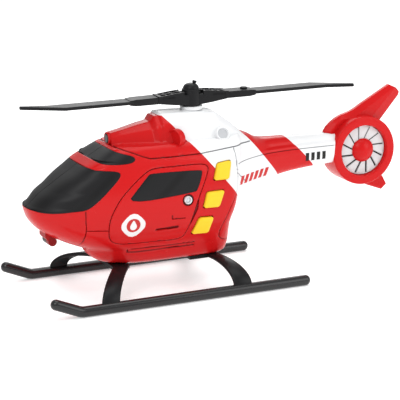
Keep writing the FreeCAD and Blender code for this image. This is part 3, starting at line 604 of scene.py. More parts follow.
def in_box(flat, path, reach):
    """True for points in the path's bounding box, widened by the reach."""
    return np.all((flat > np.min(path, 0) - reach) & (flat < np.max(path, 0) + reach), axis=1)


def refine_near(bm, paths, reach, cuts=2):
    """Divides the tagged edges whose two ends lie near a path in the side view."""
    flat = np.array([(v.co.x, v.co.z) for v in bm.verts]) / MM - [MAST_X, 0]
    near = np.zeros(len(flat), bool)
    for path, closed in paths:
        pick = np.flatnonzero(in_box(flat, path, reach))
        near[pick] |= path_distance(flat[pick], path, closed) < reach
    bm.verts.ensure_lookup_table()
    edges = [e for e in bm.edges if all(near[v.index] and v.tag for v in e.verts)]
    added = bmesh.ops.subdivide_edges(bm, edges=edges, cuts=cuts, use_grid_fill=True)
    for part in added["geom_inner"]:
        part.tag = True


def press_in(points, normals, outer, grooves, rebates):
    """Depth of all grooves and rebates at each point, applied along the inward normal; the depth also feeds
    the painted shade.
    """
    flat = points[:, [0, 2]]
    depth = np.zeros(len(points))
    for path, half, deep in grooves:
        pick = np.flatnonzero(outer & in_box(flat, path, 2))
        d = path_distance(flat[pick], path, closed=is_loop(path))
        depth[pick] = np.maximum(depth[pick], deep * (1 - soft_step(d, 0.35 * half, 1.15 * half)))
    for outline, deep in rebates:
        pick = np.flatnonzero(outer & in_box(flat, outline, 2))
        d = signed_distance(flat[pick], outline)
        depth[pick] = np.maximum(depth[pick], deep * (1 - soft_step(d, -0.28, 0.12)))
    return points - normals * depth[:, None], depth


def hull_half(side, name):
    """The closed moulding with its grooves and rebates pressed in; the seam stays on the middle plane."""
    points, faces = closed_half(side)
    obj = new_object(name, points, faces, sharp=50)
    grooves, rebates = hull_features(side)
    paths = [(g[0], is_loop(g[0])) for g in grooves] + [(np.asarray(r[0]), True) for r in rebates]
    bm = bmesh.new()
    bm.from_mesh(obj.data)
    for v in bm.verts:
        v.tag = v.index < STATIONS * AROUND
    refine_near(bm, paths, 1.1, 3)
    outer = np.array([v.tag for v in bm.verts])
    bm.to_mesh(obj.data)
    bm.free()
    mesh = obj.data
    count = len(mesh.vertices)
    flat = np.empty(count * 3)
    mesh.vertices.foreach_get("co", flat)
    co = flat.reshape(-1, 3) / MM - [MAST_X, 0, 0]
    normals = np.empty(count * 3)
    mesh.vertices.foreach_get("normal", normals)
    normals = normals.reshape(-1, 3)
    moved, depth = press_in(co, normals, outer, grooves, rebates)
    seam = np.abs(co[:, 1]) < 1e-3
    moved[:, 1] = np.where(seam, 0.0, moved[:, 1])
    mesh.vertices.foreach_set("co", to_world(moved).ravel())
    # The pressed depth is kept for the paint, which darkens grooves and rebates with painted shade.
    shade = mesh.attributes.new("painted_groove_shade", "FLOAT", "POINT")
    shade.data.foreach_set("value", np.clip(depth / 0.7, 0, 1))
    mesh.update()
    mesh.shade_smooth()
    mesh.set_sharp_from_angle(angle=math.radians(50))
    print(name, len(mesh.polygons), "faces")
    return obj


# %% [markdown]
# ## Paint on the hull
# The red and the white meet along slanted lines. A mask that is a plain formula of x and z picks
# the colour, and the depth of the grooves and rebates, kept as an attribute, darkens them with painted shade.

# %% Hull paint
EDGE = 0.3 * MM


def paint_edge(nodes, x, z, at_x, at_z, slope):
    """1 in front of a slanted line in the side view, 0 behind it, with a soft edge EDGE wide."""
    lean = nodes.math("MULTIPLY_ADD", z, -slope, slope * at_z * MM)
    past = nodes.math("ADD", nodes.math("SUBTRACT", x, (at_x + MAST_X) * MM), lean)
    return nodes.spread(past, -EDGE / 2, EDGE / 2, 0.0, 1.0)


def hull_paint():
    """Red nose, white rear and a slanted red band on the boom; grooves and rebates get painted shade."""
    nodes = Nodes("hull_paint")
    _, x, _, z = nodes.position()
    nose = paint_edge(nodes, x, z, 17.7, 123.8, 0.844)
    nose = nodes.math("MINIMUM", nose, nodes.spread(z, 137.5 * MM, 137.7 * MM, 1.0, 0.0))
    band_front = paint_edge(nodes, x, z, -44.0, 112.0, 0.85)
    band_rear = paint_edge(nodes, x, z, -84.2, 105.2, 0.934)
    band = nodes.math("MULTIPLY", band_rear, nodes.math("SUBTRACT", 1.0, band_front))
    red = nodes.math("MAXIMUM", nose, band)
    base = nodes.mix(red, WHITE, RED)
    # Painted shade: grooves and rebates are darkened by their depth, to dark grey on white and dark red on
    # red.
    painted_groove_shade = nodes.add("ShaderNodeAttribute")
    painted_groove_shade.attribute_name = "painted_groove_shade"
    dark = nodes.spread(painted_groove_shade.outputs["Fac"], 0.25, 0.9, 0.0, 0.8)
    base = nodes.mix(dark, base, nodes.mix(red, (0.10, 0.10, 0.11), (0.06, 0.002, 0.002)))
    nodes.shader.inputs["Coat Weight"].default_value = 0.08
    nodes.shader.inputs["Coat Roughness"].default_value = 0.06
    return moulded_finish(nodes, base, 0.24, grain=0.004, drift=0.03)


HULL_PAINT = hull_paint()
for side, name in ((1, "left"), (-1, "right")):
    half = hull_half(side, "hull_" + name)
    finish_piece(half, "airframe", HULL_PAINT, ["fuselage_" + name])


# %% [markdown]
# ## Simple solids
# The remaining pieces come from a few small makers: a loft through rings, a turned profile, a washer,
# a block and a sheet. Each gives points and faces, so several can be joined in one piece. A narrow
# bevel then rounds the edges, as the mould's own edges are round.

# %% Makers of points and faces
def loft(rings):
    """Skin through a stack of equal rings, closed by a face at each end."""
    rings = np.asarray(rings, float)
    n, m, _ = rings.shape
    faces = grid_faces(n, m, close_cols=True).tolist()
    faces.append(list(range(m)))
    faces.append(list(range((n - 1) * m, n * m))[::-1])
    return rings.reshape(-1, 3), faces


def frame_of(axis):
    """Two unit vectors across an axis."""
    axis = np.asarray(axis, float) / np.linalg.norm(axis)
    side = np.cross(axis, [0, 0, 1.0]) if abs(axis[2]) < 0.9 else np.cross(axis, [1.0, 0, 0])
    side /= np.linalg.norm(side)
    return axis, side, np.cross(side, axis)


def turned_rings(profile, centre, axis, segments):
    """One ring of points for each (radius, height) of a profile about an axis through the centre."""
    axis, a, b = frame_of(axis)
    t = np.linspace(0, 2 * np.pi, segments, endpoint=False)
    around = np.cos(t)[:, None] * a + np.sin(t)[:, None] * b
    return np.array([np.asarray(centre) + max(r, 1e-5) * around + h * axis for r, h in profile])


def turned(profile, centre, axis, segments=64):
    """A profile of (radius, height) turned about an axis and closed at both ends."""
    return loft(turned_rings(profile, centre, axis, segments))


def washer(profile, centre, axis, segments=96):
    """Like a turned profile, but the profile is a closed loop that keeps off the axis."""
    rings = turned_rings(profile, centre, axis, segments)
    return rings.reshape(-1, 3), grid_faces(len(profile), segments, True, True).tolist()


def inset_outline(flat, distance):
    """Each corner moves inwards along the mean of its two side normals."""
    before, after = flat - np.roll(flat, 1, 0), np.roll(flat, -1, 0) - flat
    n1 = np.stack([-before[:, 1], before[:, 0]], -1) / np.linalg.norm(before, axis=1)[:, None]
    n2 = np.stack([-after[:, 1], after[:, 0]], -1) / np.linalg.norm(after, axis=1)[:, None]
    turn = np.sign(np.sum(flat[:, 0] * np.roll(flat[:, 1], -1) - np.roll(flat[:, 0], -1) * flat[:, 1]))
    mean = (n1 + n2) / (1 + np.sum(n1 * n2, axis=1))[:, None]
    return flat + turn * mean * np.broadcast_to(distance, (len(flat),))[:, None]


def block(x0, x1, y0, y1, z0, z1):
    """A box."""
    ring = [(y0, z0), (y1, z0), (y1, z1), (y0, z1)]
    return loft([[(x, y, z) for y, z in ring] for x in (x0, x1)])


def box_beam(side, sections):
    """A boxy bar along x on one side of the mast; a section is (reach, half width, low, high)."""
    return loft([[(side * r, y, z) for y, z in ((-w, low), (w, low), (w, high), (-w, high))]
                 for r, w, low, high in sections])


def sheet(outer, inner):
    """Two equal grids of points, back to back, joined by a rim round all four sides."""
    rows, cols, _ = outer.shape
    loop = np.concatenate([np.arange(cols), np.arange(1, rows) * cols + cols - 1,
                           (rows - 1) * cols + np.arange(cols - 2, -1, -1),
                           np.arange(rows - 2, 0, -1) * cols])
    following = np.roll(loop, -1)
    faces = grid_faces(rows, cols).tolist()
    faces += grid_faces(rows, cols, first=rows * cols)[:, ::-1].tolist()
    faces += np.stack([loop, following, following + rows * cols, loop + rows * cols], -1).tolist()
    return np.concatenate([outer.reshape(-1, 3), inner.reshape(-1, 3)]), faces


def join(*shapes):
    """Several closed shapes as one set of points and faces."""
    points, faces, first = [], [], 0
    for p, f in shapes:
        points.append(np.asarray(p))
        faces += [[i + first for i in face] for face in f]
        first += len(p)
    return np.concatenate(points), faces


def soften(obj, width, segments=3, angle=28.0):
    """Rounds the edges of a piece with a bevel."""
    bevel = obj.modifiers.new("edge", "BEVEL")
    bevel.width = width * MM
    bevel.segments = segments
    bevel.limit_method = "ANGLE"
    bevel.angle_limit = math.radians(angle)
    bevel.harden_normals = True
    bevel.use_clamp_overlap = True
    return obj


# %% [markdown]
# ## Windows
# Each pane is a thin closed shell that lies in its rebate. Its rows are level lines from the
# pane's rear edge to its front edge, or to the middle plane where the pane wraps round the nose,
# so both its faces follow the hull's own curve.

# %% Panes
def row_ends(outline, z):
    """Rearmost and foremost x of a closed outline at each level."""
    p = np.asarray(outline, float)
    q = np.roll(p, -1, 0)
    low, high = np.full(len(z), 1e9), np.full(len(z), -1e9)
    for (x0, z0), (x1, z1) in zip(p, q):
        hit = (z >= min(z0, z1)) & (z <= max(z0, z1))
        x = x0 + (z - z0) * (x1 - x0) / (z1 - z0 if z1 != z0 else 1e-9)
        low, high = np.where(hit, np.minimum(low, x), low), np.where(hit, np.maximum(high, x), high)
    return low, high


SEAM_GAP = 0.22


def hull_front(z):
    """Foremost x of the cabin at each level."""
    return monotone(np.clip(z, 25.0, 118.0), CABIN[:, 0], CABIN[:, 1])


def pane(name, outline, side, outside, inside, rows=110, cols=80):
    """Rows of points along level lines, moved along the hull's normals to an outer and an inner skin."""
    p = inset_outline(round_corners(outline, 2), 0.12)
    z_top = min(p[:, 1].max(), 117.5)
    z = p[:, 1].min() + 0.01 + (z_top - p[:, 1].min() - 0.02) * (1 - np.cos(np.linspace(0, np.pi, rows))) / 2
    rear, front = row_ends(p, z)
    front = np.minimum(front, hull_front(z) - 0.004)
    keep = front > rear
    z, rear, front = z[keep], rear[keep], front[keep]
    t = np.linspace(0, 1, cols)
    wraps = (front > hull_front(z) - 0.1)[:, None]
    spread = np.where(wraps, np.sin(t * np.pi / 2)[None, :], t[None, :])
    x = rear[:, None] + (front - rear)[:, None] * spread
    zz = z[:, None] * np.ones_like(x)
    width = hull_width(x, zz)
    width[:, -1] = np.where(wraps[:, 0], SEAM_GAP, width[:, -1])
    base = np.stack([x, width, zz], -1)
    normal = np.cross(np.gradient(base, axis=1), np.gradient(base, axis=0))
    normal[:, -1, 1] = np.where(wraps[:, 0], 0.0, normal[:, -1, 1])
    normal /= np.linalg.norm(normal, axis=-1, keepdims=True)
    normal *= np.sign(normal[len(z) // 2, 0, 1])
    skins = [(base + normal * h) * [1, side, 1] for h in (outside, inside)]
    return new_object(name, *sheet(*skins), sharp=40)


# Slope and spacing of the painted reflection bands on the panes.
REFLECTION_BAND_SLOPE, REFLECTION_BANDS_PER_METRE = 1.15, 210.0


def tinted(name, colour, gloss):
    """Dark glossy plastic with faint slanting bands of painted reflection."""
    nodes = Nodes(name)
    _, x, _, z = nodes.position()
    # Painted reflection: slanting darker and lighter stripes, as reflections lie on the glossy panes.
    slant = nodes.math("MULTIPLY_ADD", z, REFLECTION_BAND_SLOPE, x)
    reflection_wave = nodes.math("SINE", nodes.math("MULTIPLY", slant, REFLECTION_BANDS_PER_METRE))
    level = nodes.spread(reflection_wave, 0.35, 1.0, 0.0, 0.55)
    base = nodes.mix(level, colour, tuple(0.25 * c for c in colour))
    return moulded_finish(nodes, base, gloss, grain=0.003, shine=0.22)


PANE_DEPTHS = (-0.12, -0.85)
TINT_WITH_PAINTED_REFLECTIONS = tinted("window_tint_painted_reflections", (0.009, 0.009, 0.010), 0.42)
for side, name in ((1, "left"), (-1, "right")):
    for node, outline in (("windscreen", WINDSCREEN), ("roof_window", ROOF_WINDOW),
                          ("door_window", DOOR_WINDOW)):
        tinted_pane = pane(f"{node}_pane_{name}", outline, side, *PANE_DEPTHS)
        finish_piece(tinted_pane, "airframe", TINT_WITH_PAINTED_REFLECTIONS, [f"{node}_{name}"])


# %% [markdown]
# ## Engine cowling
# The cowling is a faceted box with soft edges. A table gives its half section at each station; the
# sections between are straight blends, and a short running average along and round the skin turns
# every facet edge into a small radius.

# %% Cowling
COWL = {
    70.0: [(0, 127.0), (3.6, 126.4), (5.4, 123.0), (6.0, 117.5), (12.0, 116.5), (19.0, 113.5)],
    62.0: [(0, 128.4), (4.0, 127.8), (7.0, 124.5), (9.0, 118.8), (15.0, 117.0), (24.0, 111.5)],
    48.0: [(0, 131.5), (4.5, 131.0), (9.5, 126.5), (12.5, 118.6), (18.0, 116.8), (26.5, 109.5)],
    38.0: [(0, 133.2), (5.0, 132.8), (11.0, 127.5), (15.0, 118.4), (20.0, 116.2), (27.4, 109.0)],
    34.5: [(0, 137.4), (6.5, 137.0), (13.5, 129.5), (17.0, 118.5), (21.0, 115.8), (27.6, 108.8)],
    31.3: [(0, 137.4), (7.2, 137.0), (14.2, 130.0), (17.8, 118.8), (21.5, 115.7), (27.7, 108.7)],
    30.3: [(0, 139.4), (8.0, 139.0), (15.2, 131.0), (18.6, 119.3), (21.8, 115.4), (27.7, 108.7)],
    22.0: [(0, 139.5), (9.0, 138.9), (17.0, 132.0), (20.5, 120.0), (22.5, 115.0), (27.8, 108.6)],
    0.0: [(0, 138.6), (10.0, 138.0), (17.5, 131.0), (20.5, 120.0), (22.5, 114.5), (27.8, 108.4)],
    -16.0: [(0, 137.2), (9.5, 136.5), (16.5, 130.0), (19.5, 120.0), (21.5, 114.5), (26.4, 108.4)],
    -29.0: [(0, 128.0), (8.5, 127.2), (14.5, 122.0), (17.5, 116.0), (19.0, 113.0), (22.0, 108.6)],
    -41.0: [(0, 117.6), (7.0, 117.2), (10.5, 115.8), (13.0, 113.4), (14.5, 112.0), (16.0, 110.2)],
}
COWL_FINE = 0.5
COWL_TUCK, COWL_DROP = 3.0, 4.0


def running_mean(values, count, axis=0):
    """Mean over a short window with the ends held."""
    pad = count // 2
    ends = [(0, 0)] * values.ndim
    ends[axis] = (pad, pad)
    padded = np.pad(values, ends, mode="edge")
    parts = [np.take(padded, np.arange(k, k + values.shape[axis]), axis=axis) for k in range(count)]
    return np.mean(parts, axis=0)


def cowl_skin():
    """Half sections on a fine grid of stations, facet edges softened by running means."""
    table = sorted(COWL.items())
    keys = np.array([k for k, _ in table])
    x = np.arange(keys[0], keys[-1] + COWL_FINE / 2, COWL_FINE)
    corners = np.array([c for _, c in table], float)
    stations = np.stack([[np.interp(x, keys, corners[:, k, c]) for k in range(6)] for c in (0, 1)], -1)
    stations = running_mean(stations.transpose(1, 0, 2), 3, 0)
    steps = np.concatenate([np.linspace(k, k + 1, 12, endpoint=False) for k in range(5)] + [[5.0]])
    lower = np.clip(np.floor(steps).astype(int), 0, 4)
    blend = (steps - lower)[None, :, None]
    half = stations[:, lower] * (1 - blend) + stations[:, lower + 1] * blend
    mirrored = np.concatenate([half[:, :0:-1] * [-1, 1], half], 1)
    mirrored = running_mean(mirrored, 3, 1)
    return x, mirrored


def cowl_shape():
    """The softened skin closed by a floor that lies inside the hull."""
    x, skin = cowl_skin()
    n, m, _ = skin.shape
    edge = skin[:, [-1, 0]]
    floor = np.stack([edge[:, 0] + [-COWL_TUCK, -COWL_DROP], edge[:, 1] + [COWL_TUCK, -COWL_DROP]], 1)
    ring = np.concatenate([skin, floor], 1)
    points = np.concatenate([np.broadcast_to(x[:, None, None], (n, m + 2, 1)), ring], -1)
    return loft(points)


cowl = new_object("cowling_shell", *cowl_shape(), sharp=60)
finish_piece(cowl, "airframe", HULL_PAINT, ["engine_cowling"])

WHITE_PLASTIC = plain_plastic("white_plastic", WHITE, 0.3)
RED_PLASTIC = plain_plastic("red_plastic", RED, 0.24)
DARK_RED = plain_plastic("dark_red_plastic", tuple(0.62 * c for c in RED), 0.4)
BLACK = plain_plastic("black_plastic", (0.011, 0.011, 0.012), 0.34, drift=0.1, marks=0.06)
GLOSS_BLACK = plain_plastic("gloss_black", (0.011, 0.011, 0.012), 0.2, marks=0.05, shine=0.45)
YELLOW = plain_plastic("yellow_plastic", (0.93, 0.60, 0.03), 0.3)
STEEL = plain_plastic("steel", (0.55, 0.55, 0.56), 0.3)
# A grey used as painted shade in the recessed mouths of the white exhaust stubs.
RECESS_SHADE_GREY = plain_plastic("painted_recess_shade", (0.50, 0.51, 0.53), 0.4)
GREEN = plain_plastic("board_green", (0.03, 0.19, 0.07), 0.45)

# %% [markdown]
# ## Exhausts and intakes
# Turned profiles: a stub that leans out on each side, and a short pod that looks forward.

# %% Exhaust stubs and intakes
STUB = [(0, -4), (5.2, -4), (5.6, 10.6), (5.5, 11.2), (5.1, 11.5), (4.7, 11.4), (4.4, 11.0), (4.3, 10.1),
        (3.7, 9.9), (0, 9.9)]
STUB_FLOOR = [(0, 9.5), (4.15, 9.5), (4.15, 10.1), (0, 10.1)]
POD = [(0, -6.2), (6.8, -6.2), (7.4, -5.2), (7.4, -0.7), (7.2, -0.15), (6.8, 0.0), (6.4, -0.2), (6.1, -0.9),
       (5.8, -1.2), (0, -1.5)]
POD_TOE_OUT = math.radians(22)
for side, name in ((1, "left"), (-1, "right")):
    place, axis = (-16.8, 13.0 * side, 116.8), (0, 0.9 * side, 0.43)
    stub = turned(STUB, place, axis)
    finish_piece(new_object("exhaust_" + name, *stub), "airframe", WHITE_PLASTIC)
    # A grey disc in each stub's mouth is painted shade: the stub is white, and its recess is darker only by
    # shade.
    shade_disc = turned(STUB_FLOOR, place, axis)
    finish_piece(new_object("exhaust_shade_disc_" + name, *shade_disc), "airframe", RECESS_SHADE_GREY)
    place, axis = (25.2, 22.4 * side, 121.2), (math.cos(POD_TOE_OUT), side * math.sin(POD_TOE_OUT), 0)
    pod = turned(POD, place, axis)
    finish_piece(new_object("intake_pod_" + name, *pod), "airframe", RED_PLASTIC,
                 ["intake_" + name])


# %% [markdown]
# ## Buttons and lamps
# The three yellow buttons are leaning squares with rounded edges. Rings of the outline shrink
# towards the middle while they rise, first steeply and then level, which gives a cap with a soft
# rim. The caps follow the curve of the side, so that they stand equally proud all round.

# %% Buttons
CAP_HALF = 7.2
CAP_LEVELS = [(0.0, -3.2), (0.0, 1.6), (0.2, 1.9), (0.45, 2.0), (0.8, 2.0), (1.25, 2.35), (1.6, 2.5),
              (3.2, 2.55), (5.0, 2.55)]


def button_cap(name):
    """Rings from below the skin, up the side, over a rounded edge and in to the middle."""
    outline = button_outline(name, 0.0)
    centre = np.mean(BUTTONS[name], axis=0)
    rings = []
    for inset, height in CAP_LEVELS:
        flat = centre + (outline - centre) * (1 - inset / CAP_HALF)
        y = hull_width(flat[:, 0], flat[:, 1]) + height
        rings.append(np.stack([flat[:, 0], y, flat[:, 1]], -1))
    return loft(rings)


for name in BUTTONS:
    cap = new_object("cap_" + name, *button_cap(name), sharp=40)
    finish_piece(cap, "button_" + name, YELLOW, ["button_" + name])

# %% [markdown]
# ## Side lamp
# A white ring stands in a dark cup beside the door's handle.

# %% Side lamp
lamp_x, lamp_z = SIDE_LAMP
PORT = (0, 1, 0)
bezel = washer([(2.35, 34.4), (2.95, 34.4), (3.05, 34.6), (3.05, 38.3), (2.9, 38.65), (2.7, 38.8),
                (2.45, 38.6), (2.35, 38.1)], (lamp_x, 0, lamp_z), PORT, 48)
finish_piece(new_object("lamp_ring", *bezel), "airframe", WHITE_PLASTIC, ["side_lamp_bezel"])
socket = turned([(0, 33.0), (4.5, 33.0), (4.55, 36.6), (4.1, 36.6), (4.0, 34.2), (0, 34.2)],
                (lamp_x, 0, lamp_z), PORT, 48)
finish_piece(new_object("lamp_cup", *socket), "airframe", BLACK, ["side_lamp_socket"])


# %% [markdown]
# ## Tail housing
# The fan's shroud is a turned ring with a broad flat face. The fin is a plate with a thin edge
# and a raised flat on both sides; a curved fairing carries it round the ring. A short
# fin points down at the back. On the starboard side three arms hold the fan's bearing.

# %% Shroud, fins and bracket
TAIL_X, TAIL_Z = FAN_X, FAN_Z
TAIL_HUB = (TAIL_X, 0, TAIL_Z)
FIN = [(-117.5, 108.6), (-120.2, 112.6), (-123.9, 115.8), (-128.2, 118.8), (-133.1, 121.0), (-137.4, 122.2),
       (-141.4, 123.3), (-146.5, 125.7), (-151.5, 128.6), (-177.6, 142.5), (-184.2, 139.4), (-187.2, 135.8),
       (-186.3, 132.9), (-169.6, 113.9), (-150.0, 104.0), (-122.0, 100.0)]
FIN_FACE = [(-122.2, 108.9), (-124.6, 111.8), (-127.4, 114.6), (-130.2, 116.8), (-133.4, 118.2),
            (-138.2, 118.4), (-143.7, 118.6), (-148.6, 121.4), (-153.6, 124.4), (-179.6, 139.6),
            (-181.3, 140.0), (-181.6, 139.4), (-180.9, 138.9), (-163.0, 120.6), (-149.0, 106.0),
            (-124.0, 102.0)]
VENTRAL_FIN = [(-157.4, 60.3), (-171.7, 54.9), (-176.4, 59.1), (-172.5, 66.3), (-163, 76), (-152, 74)]


def shroud():
    """Closed profile of the ring: flat faces, round shoulders, a short lip round the duct."""
    round_edge = 1.6
    shoulder = [(26.6 + round_edge * math.sin(a), 10.4 + round_edge * math.cos(a))
                for a in np.linspace(0, math.pi / 2, 9)]
    face = [(20.8, -11.2), (20.8, 11.2), (21.1, 11.7), (21.6, 11.95), (22.4, 12.0)]
    port = face[1:] + shoulder
    starboard = [(r, -h) for r, h in reversed(port)]
    return washer(port + starboard, TAIL_HUB, PORT, 128)


def fin_plate(outline, face, half, edge):
    """A plate with a thin edge and a raised flat on both sides."""
    flat, small = np.asarray(outline, float), np.asarray(face, float)
    levels = ((small, -half), (flat, -edge), (flat, edge), (small, half))
    return loft([np.stack([p[:, 0], np.full(len(p), y), p[:, 1]], -1) for p, y in levels])


ring = new_object("tail_ring", *shroud(), sharp=40)
finish_piece(ring, "airframe", RED_PLASTIC, ["tail_housing_left", "tail_housing_right"])
fin = new_object("tail_fin", *fin_plate(FIN, FIN_FACE, 4.6, 1.7), sharp=20)
finish_piece(soften(fin, 0.35, 2, 16), "airframe", RED_PLASTIC)
small_face = inset_outline(np.asarray(VENTRAL_FIN, float), 1.2)
small_fin = new_object("ventral_fin", *fin_plate(VENTRAL_FIN, small_face, 3.2, 2.0), sharp=20)
finish_piece(soften(small_fin, 0.3, 2, 16), "airframe", RED_PLASTIC)


def bracket():
    """Bearing boss and three arms behind the fan."""
    arms = [turned([(0, -7.0), (4.6, -7.0), (5.0, -6.6), (5.0, 0.0), (0, 0.0)], TAIL_HUB, PORT, 48)]
    for k in range(3):
        a = math.radians(60 + 120 * k)
        way, across = np.array([math.sin(a), 0, math.cos(a)]), np.array([math.cos(a), 0, -math.sin(a)])
        ends = [np.array(TAIL_HUB) + way * r for r in (4.0, 21.6)]
        arms.append(loft([[e + across * w + np.array([0, y, 0]) for w, y in
                           ((-1.5, -5), (1.5, -5), (1.5, 0), (-1.5, 0))] for e in ends]))
    return join(*arms)


finish_piece(soften(new_object("fan_bracket", *bracket()), 0.3, 2), "airframe", RED_PLASTIC)


# %% [markdown]
# ## Tail fan
# Twelve broad blades fill the duct. Each blade leans a little, so its leading edge stands proud of
# the next one's trailing edge; a narrow slot, tangent to the hub, parts each pair and is painted
# black as shade. The face is one polar grid whose columns follow the slots.

# %% Fan wheel and dome
BLADES = 12
SLOT_OFFSET, SLOT_HALF = 3.5, 0.55
FACE_COLUMNS = 12


def fan_face():
    """Polar grid with three columns per slot and nine per blade; height is a lean plus a slot, and the slot's
    columns carry painted shade.
    """
    r = np.concatenate([np.linspace(7.0, 19.2, 14), [19.5, 20.2]])
    lean = np.linspace(0.0, 1.0, 9)
    points = np.empty((len(r), BLADES * FACE_COLUMNS, 3))
    shade = np.zeros((len(r), BLADES * FACE_COLUMNS))
    for row, radius in enumerate(r):
        half = SLOT_HALF / radius
        step = 2 * math.pi / BLADES
        rim = radius > 19.3
        offsets = np.concatenate([[-half, -half * 0.9, half * 0.9], half + (step - 2 * half) * lean])
        heights = np.concatenate([[7.9, 6.4, 6.4], 8.6 - 0.75 * lean])
        # Painted shade: the slot's columns are marked dark, as the slot lies in shade.
        dark = np.concatenate([[0.6, 1.0, 1.0, 0.5], np.zeros(8)])
        heights = np.where(rim, 8.1, heights)
        dark = np.where(rim, 0.0, dark)
        angle = np.arange(BLADES)[:, None] * step + math.asin(SLOT_OFFSET / radius) + offsets[None, :]
        a = angle.ravel()
        points[row] = np.stack([TAIL_X + radius * np.sin(a), np.tile(heights, BLADES),
                                TAIL_Z + radius * np.cos(a)], -1)
        shade[row] = np.tile(dark, BLADES)
    return points, shade


def fan_wheel():
    """The face, a flat back and the rims between."""
    front, shade = fan_face()
    back = front[[0, -1]].copy()
    back[..., 1] = 5.0
    rings = np.concatenate([back[:1], front, back[1:]])
    n, m, _ = rings.shape
    obj = new_object("fan_blades", rings.reshape(-1, 3), grid_faces(n, m, True, True).tolist(), sharp=30)
    # The painted slot shade is kept as an attribute for the fan's paint.
    dark = np.concatenate([np.zeros((1, m)), shade, np.zeros((1, m))]).ravel()
    attribute = obj.data.attributes.new("painted_groove_shade", "FLOAT", "POINT")
    attribute.data.foreach_set("value", dark[:len(obj.data.vertices)])
    return obj


def fan_paint():
    """Light grey plastic that turns black where the wheel's slot shade value is high; the black and part of
    the grey are painted shade.
    """
    nodes = Nodes("fan_paint")
    painted_groove_shade = nodes.add("ShaderNodeAttribute")
    painted_groove_shade.attribute_name = "painted_groove_shade"
    # Painted shade: black in the slots, and a light grey for the blades that is their white darkened by the
    # duct's shade.
    base = nodes.mix(painted_groove_shade.outputs["Fac"], (0.66, 0.66, 0.67), (0.008, 0.008, 0.009))
    return moulded_finish(nodes, base, 0.35, drift=0.08)


finish_piece(fan_wheel(), "tail_fan", fan_paint(), ["fan_wheel"])
DOME_RADIUS = 11.5
dome = [(0.0, 8.0), (9.6, 8.0), (9.7, 9.0)]
dome += [(DOME_RADIUS * math.sin(t), 3.0 + DOME_RADIUS * math.cos(t))
         for t in np.linspace(0, math.radians(57.5), 12)[::-1]]
finish_piece(new_object("fan_dome", *turned(dome, TAIL_HUB, PORT)), "tail_fan", RED_PLASTIC,
             ["fan_cap"])


# %% [markdown]
# ## Rotor
# The head is a short drum with two deep arms. The arms taper outwards, and ribs on their upper side
# leave small pockets between them. The blades are flat, with a raised cuff at the root and a tip
# that sweeps back. At rest the rotor stands a little off the length of the toy.

# %% Hub, blades and cap
ROTOR_TURN = math.radians(-2.02)


def at_rest(shape):
    """Turns points about the mast to the rotor's resting place."""
    points, faces = shape
    c, s = math.cos(ROTOR_TURN), math.sin(ROTOR_TURN)
    points = np.asarray(points, float)
    x, y = points[:, 0] * c - points[:, 1] * s, points[:, 0] * s + points[:, 1] * c
    return np.stack([x, y, points[:, 2]], -1), faces


def hub_arm(side):
    """Deep tapering arm, ribs on top and a small block at its end."""
    sections = [(4.0, 6.3, 142.4, 150.8), (16.0, 6.6, 143.7, 150.6), (28.0, 6.6, 145.4, 149.9)]
    ridge = [(8.0, 153.4), (16.0, 152.8), (28.0, 151.4)]
    floor = 149.0
    ribs = []
    for y0, y1 in ((-6.6, -5.4), (-0.7, 0.7), (5.4, 6.6)):
        ribs.append(loft([[(side * r, y, z) for y, z in ((y0, floor), (y1, floor), (y1, top), (y0, top))]
                          for r, top in ridge]))
    for r in (9.5, 16.5, 21.5, 26.6):
        x0, x1 = sorted((side * r, side * (r + 1.3)))
        top = np.interp(r + 1.3, *np.transpose(ridge)) - 0.2
        ribs.append(block(x0, x1, -6.5, 6.5, floor, top))
    x0, x1 = sorted((side * 26.5, side * 29.6))
    ribs.append(block(x0, x1, -6.9, 6.9, 145.6, 151.6))
    return join(box_beam(side, sections), *ribs)


MAST, UP = (0, 0, 0), (0, 0, 1)
drum = turned([(0, 141.6), (7.2, 141.6), (7.5, 142.0), (7.5, 152.6), (7.1, 153.0), (0, 153.0)], MAST, UP)
hub = new_object("rotor_head", *at_rest(join(drum, hub_arm(1), hub_arm(-1))))
finish_piece(soften(hub, 0.25, 2), "rotor", BLACK, ["rotor_hub"])


def blade(side):
    """Rounded flat sections from the root to the swept tip."""
    r = np.array([50.0, 55.0, 80.0, 106.0, 112.0, 115.0, 120.0, 130.0, 135.6, 136.2])
    lead = np.array([-6.6, -7.56, -7.56, -7.56, -4.05, -2.3, 0.65, 6.5, 9.75, 10.4])
    trail = np.array([6.6, 7.56, 7.56, 7.56, 7.56, 7.56, 9.0, 11.75, 13.25, 13.1])
    rings = []
    for x, a, b in zip(r, lead, trail):
        e = min(0.8, 0.3 * (b - a))
        ring = [(a + e, 147.1), (b - e, 147.1), (b - 0.15 * e, 147.5), (b, 148.4), (b - 0.15 * e, 149.3),
                (b - e, 149.75), (a + e, 149.75), (a + 0.15 * e, 149.3), (a, 148.4), (a + 0.15 * e, 147.5)]
        rings.append([(side * x, -side * c, z) for c, z in ring])
    return loft(rings)


def cuff(side):
    """Raised root of the blade, stepped at both ends."""
    return box_beam(side, [(28.4, 5.9, 145.9, 150.4), (30.0, 6.6, 145.6, 151.0), (48.0, 6.6, 145.6, 150.8),
                           (53.0, 6.4, 146.4, 150.2)])


for side, name in ((1, "front"), (-1, "rear")):
    piece = new_object("blade_" + name, *at_rest(join(blade(side), cuff(side))), sharp=25)
    finish_piece(soften(piece, 0.2, 2), "rotor", BLACK, ["rotor_blade_" + name])

pins = join(*[turned([(0, 149.0), (2.9, 149.0), (2.9, top - 0.5), (2.5, top - 0.05), (0, top)],
                     (side * 45.0, 0, 0), UP, 32) for side, top in ((1, 150.75), (-1, 152.4))])
finish_piece(new_object("root_pins", *at_rest(pins)), "rotor", BLACK, ["blade_pins"])

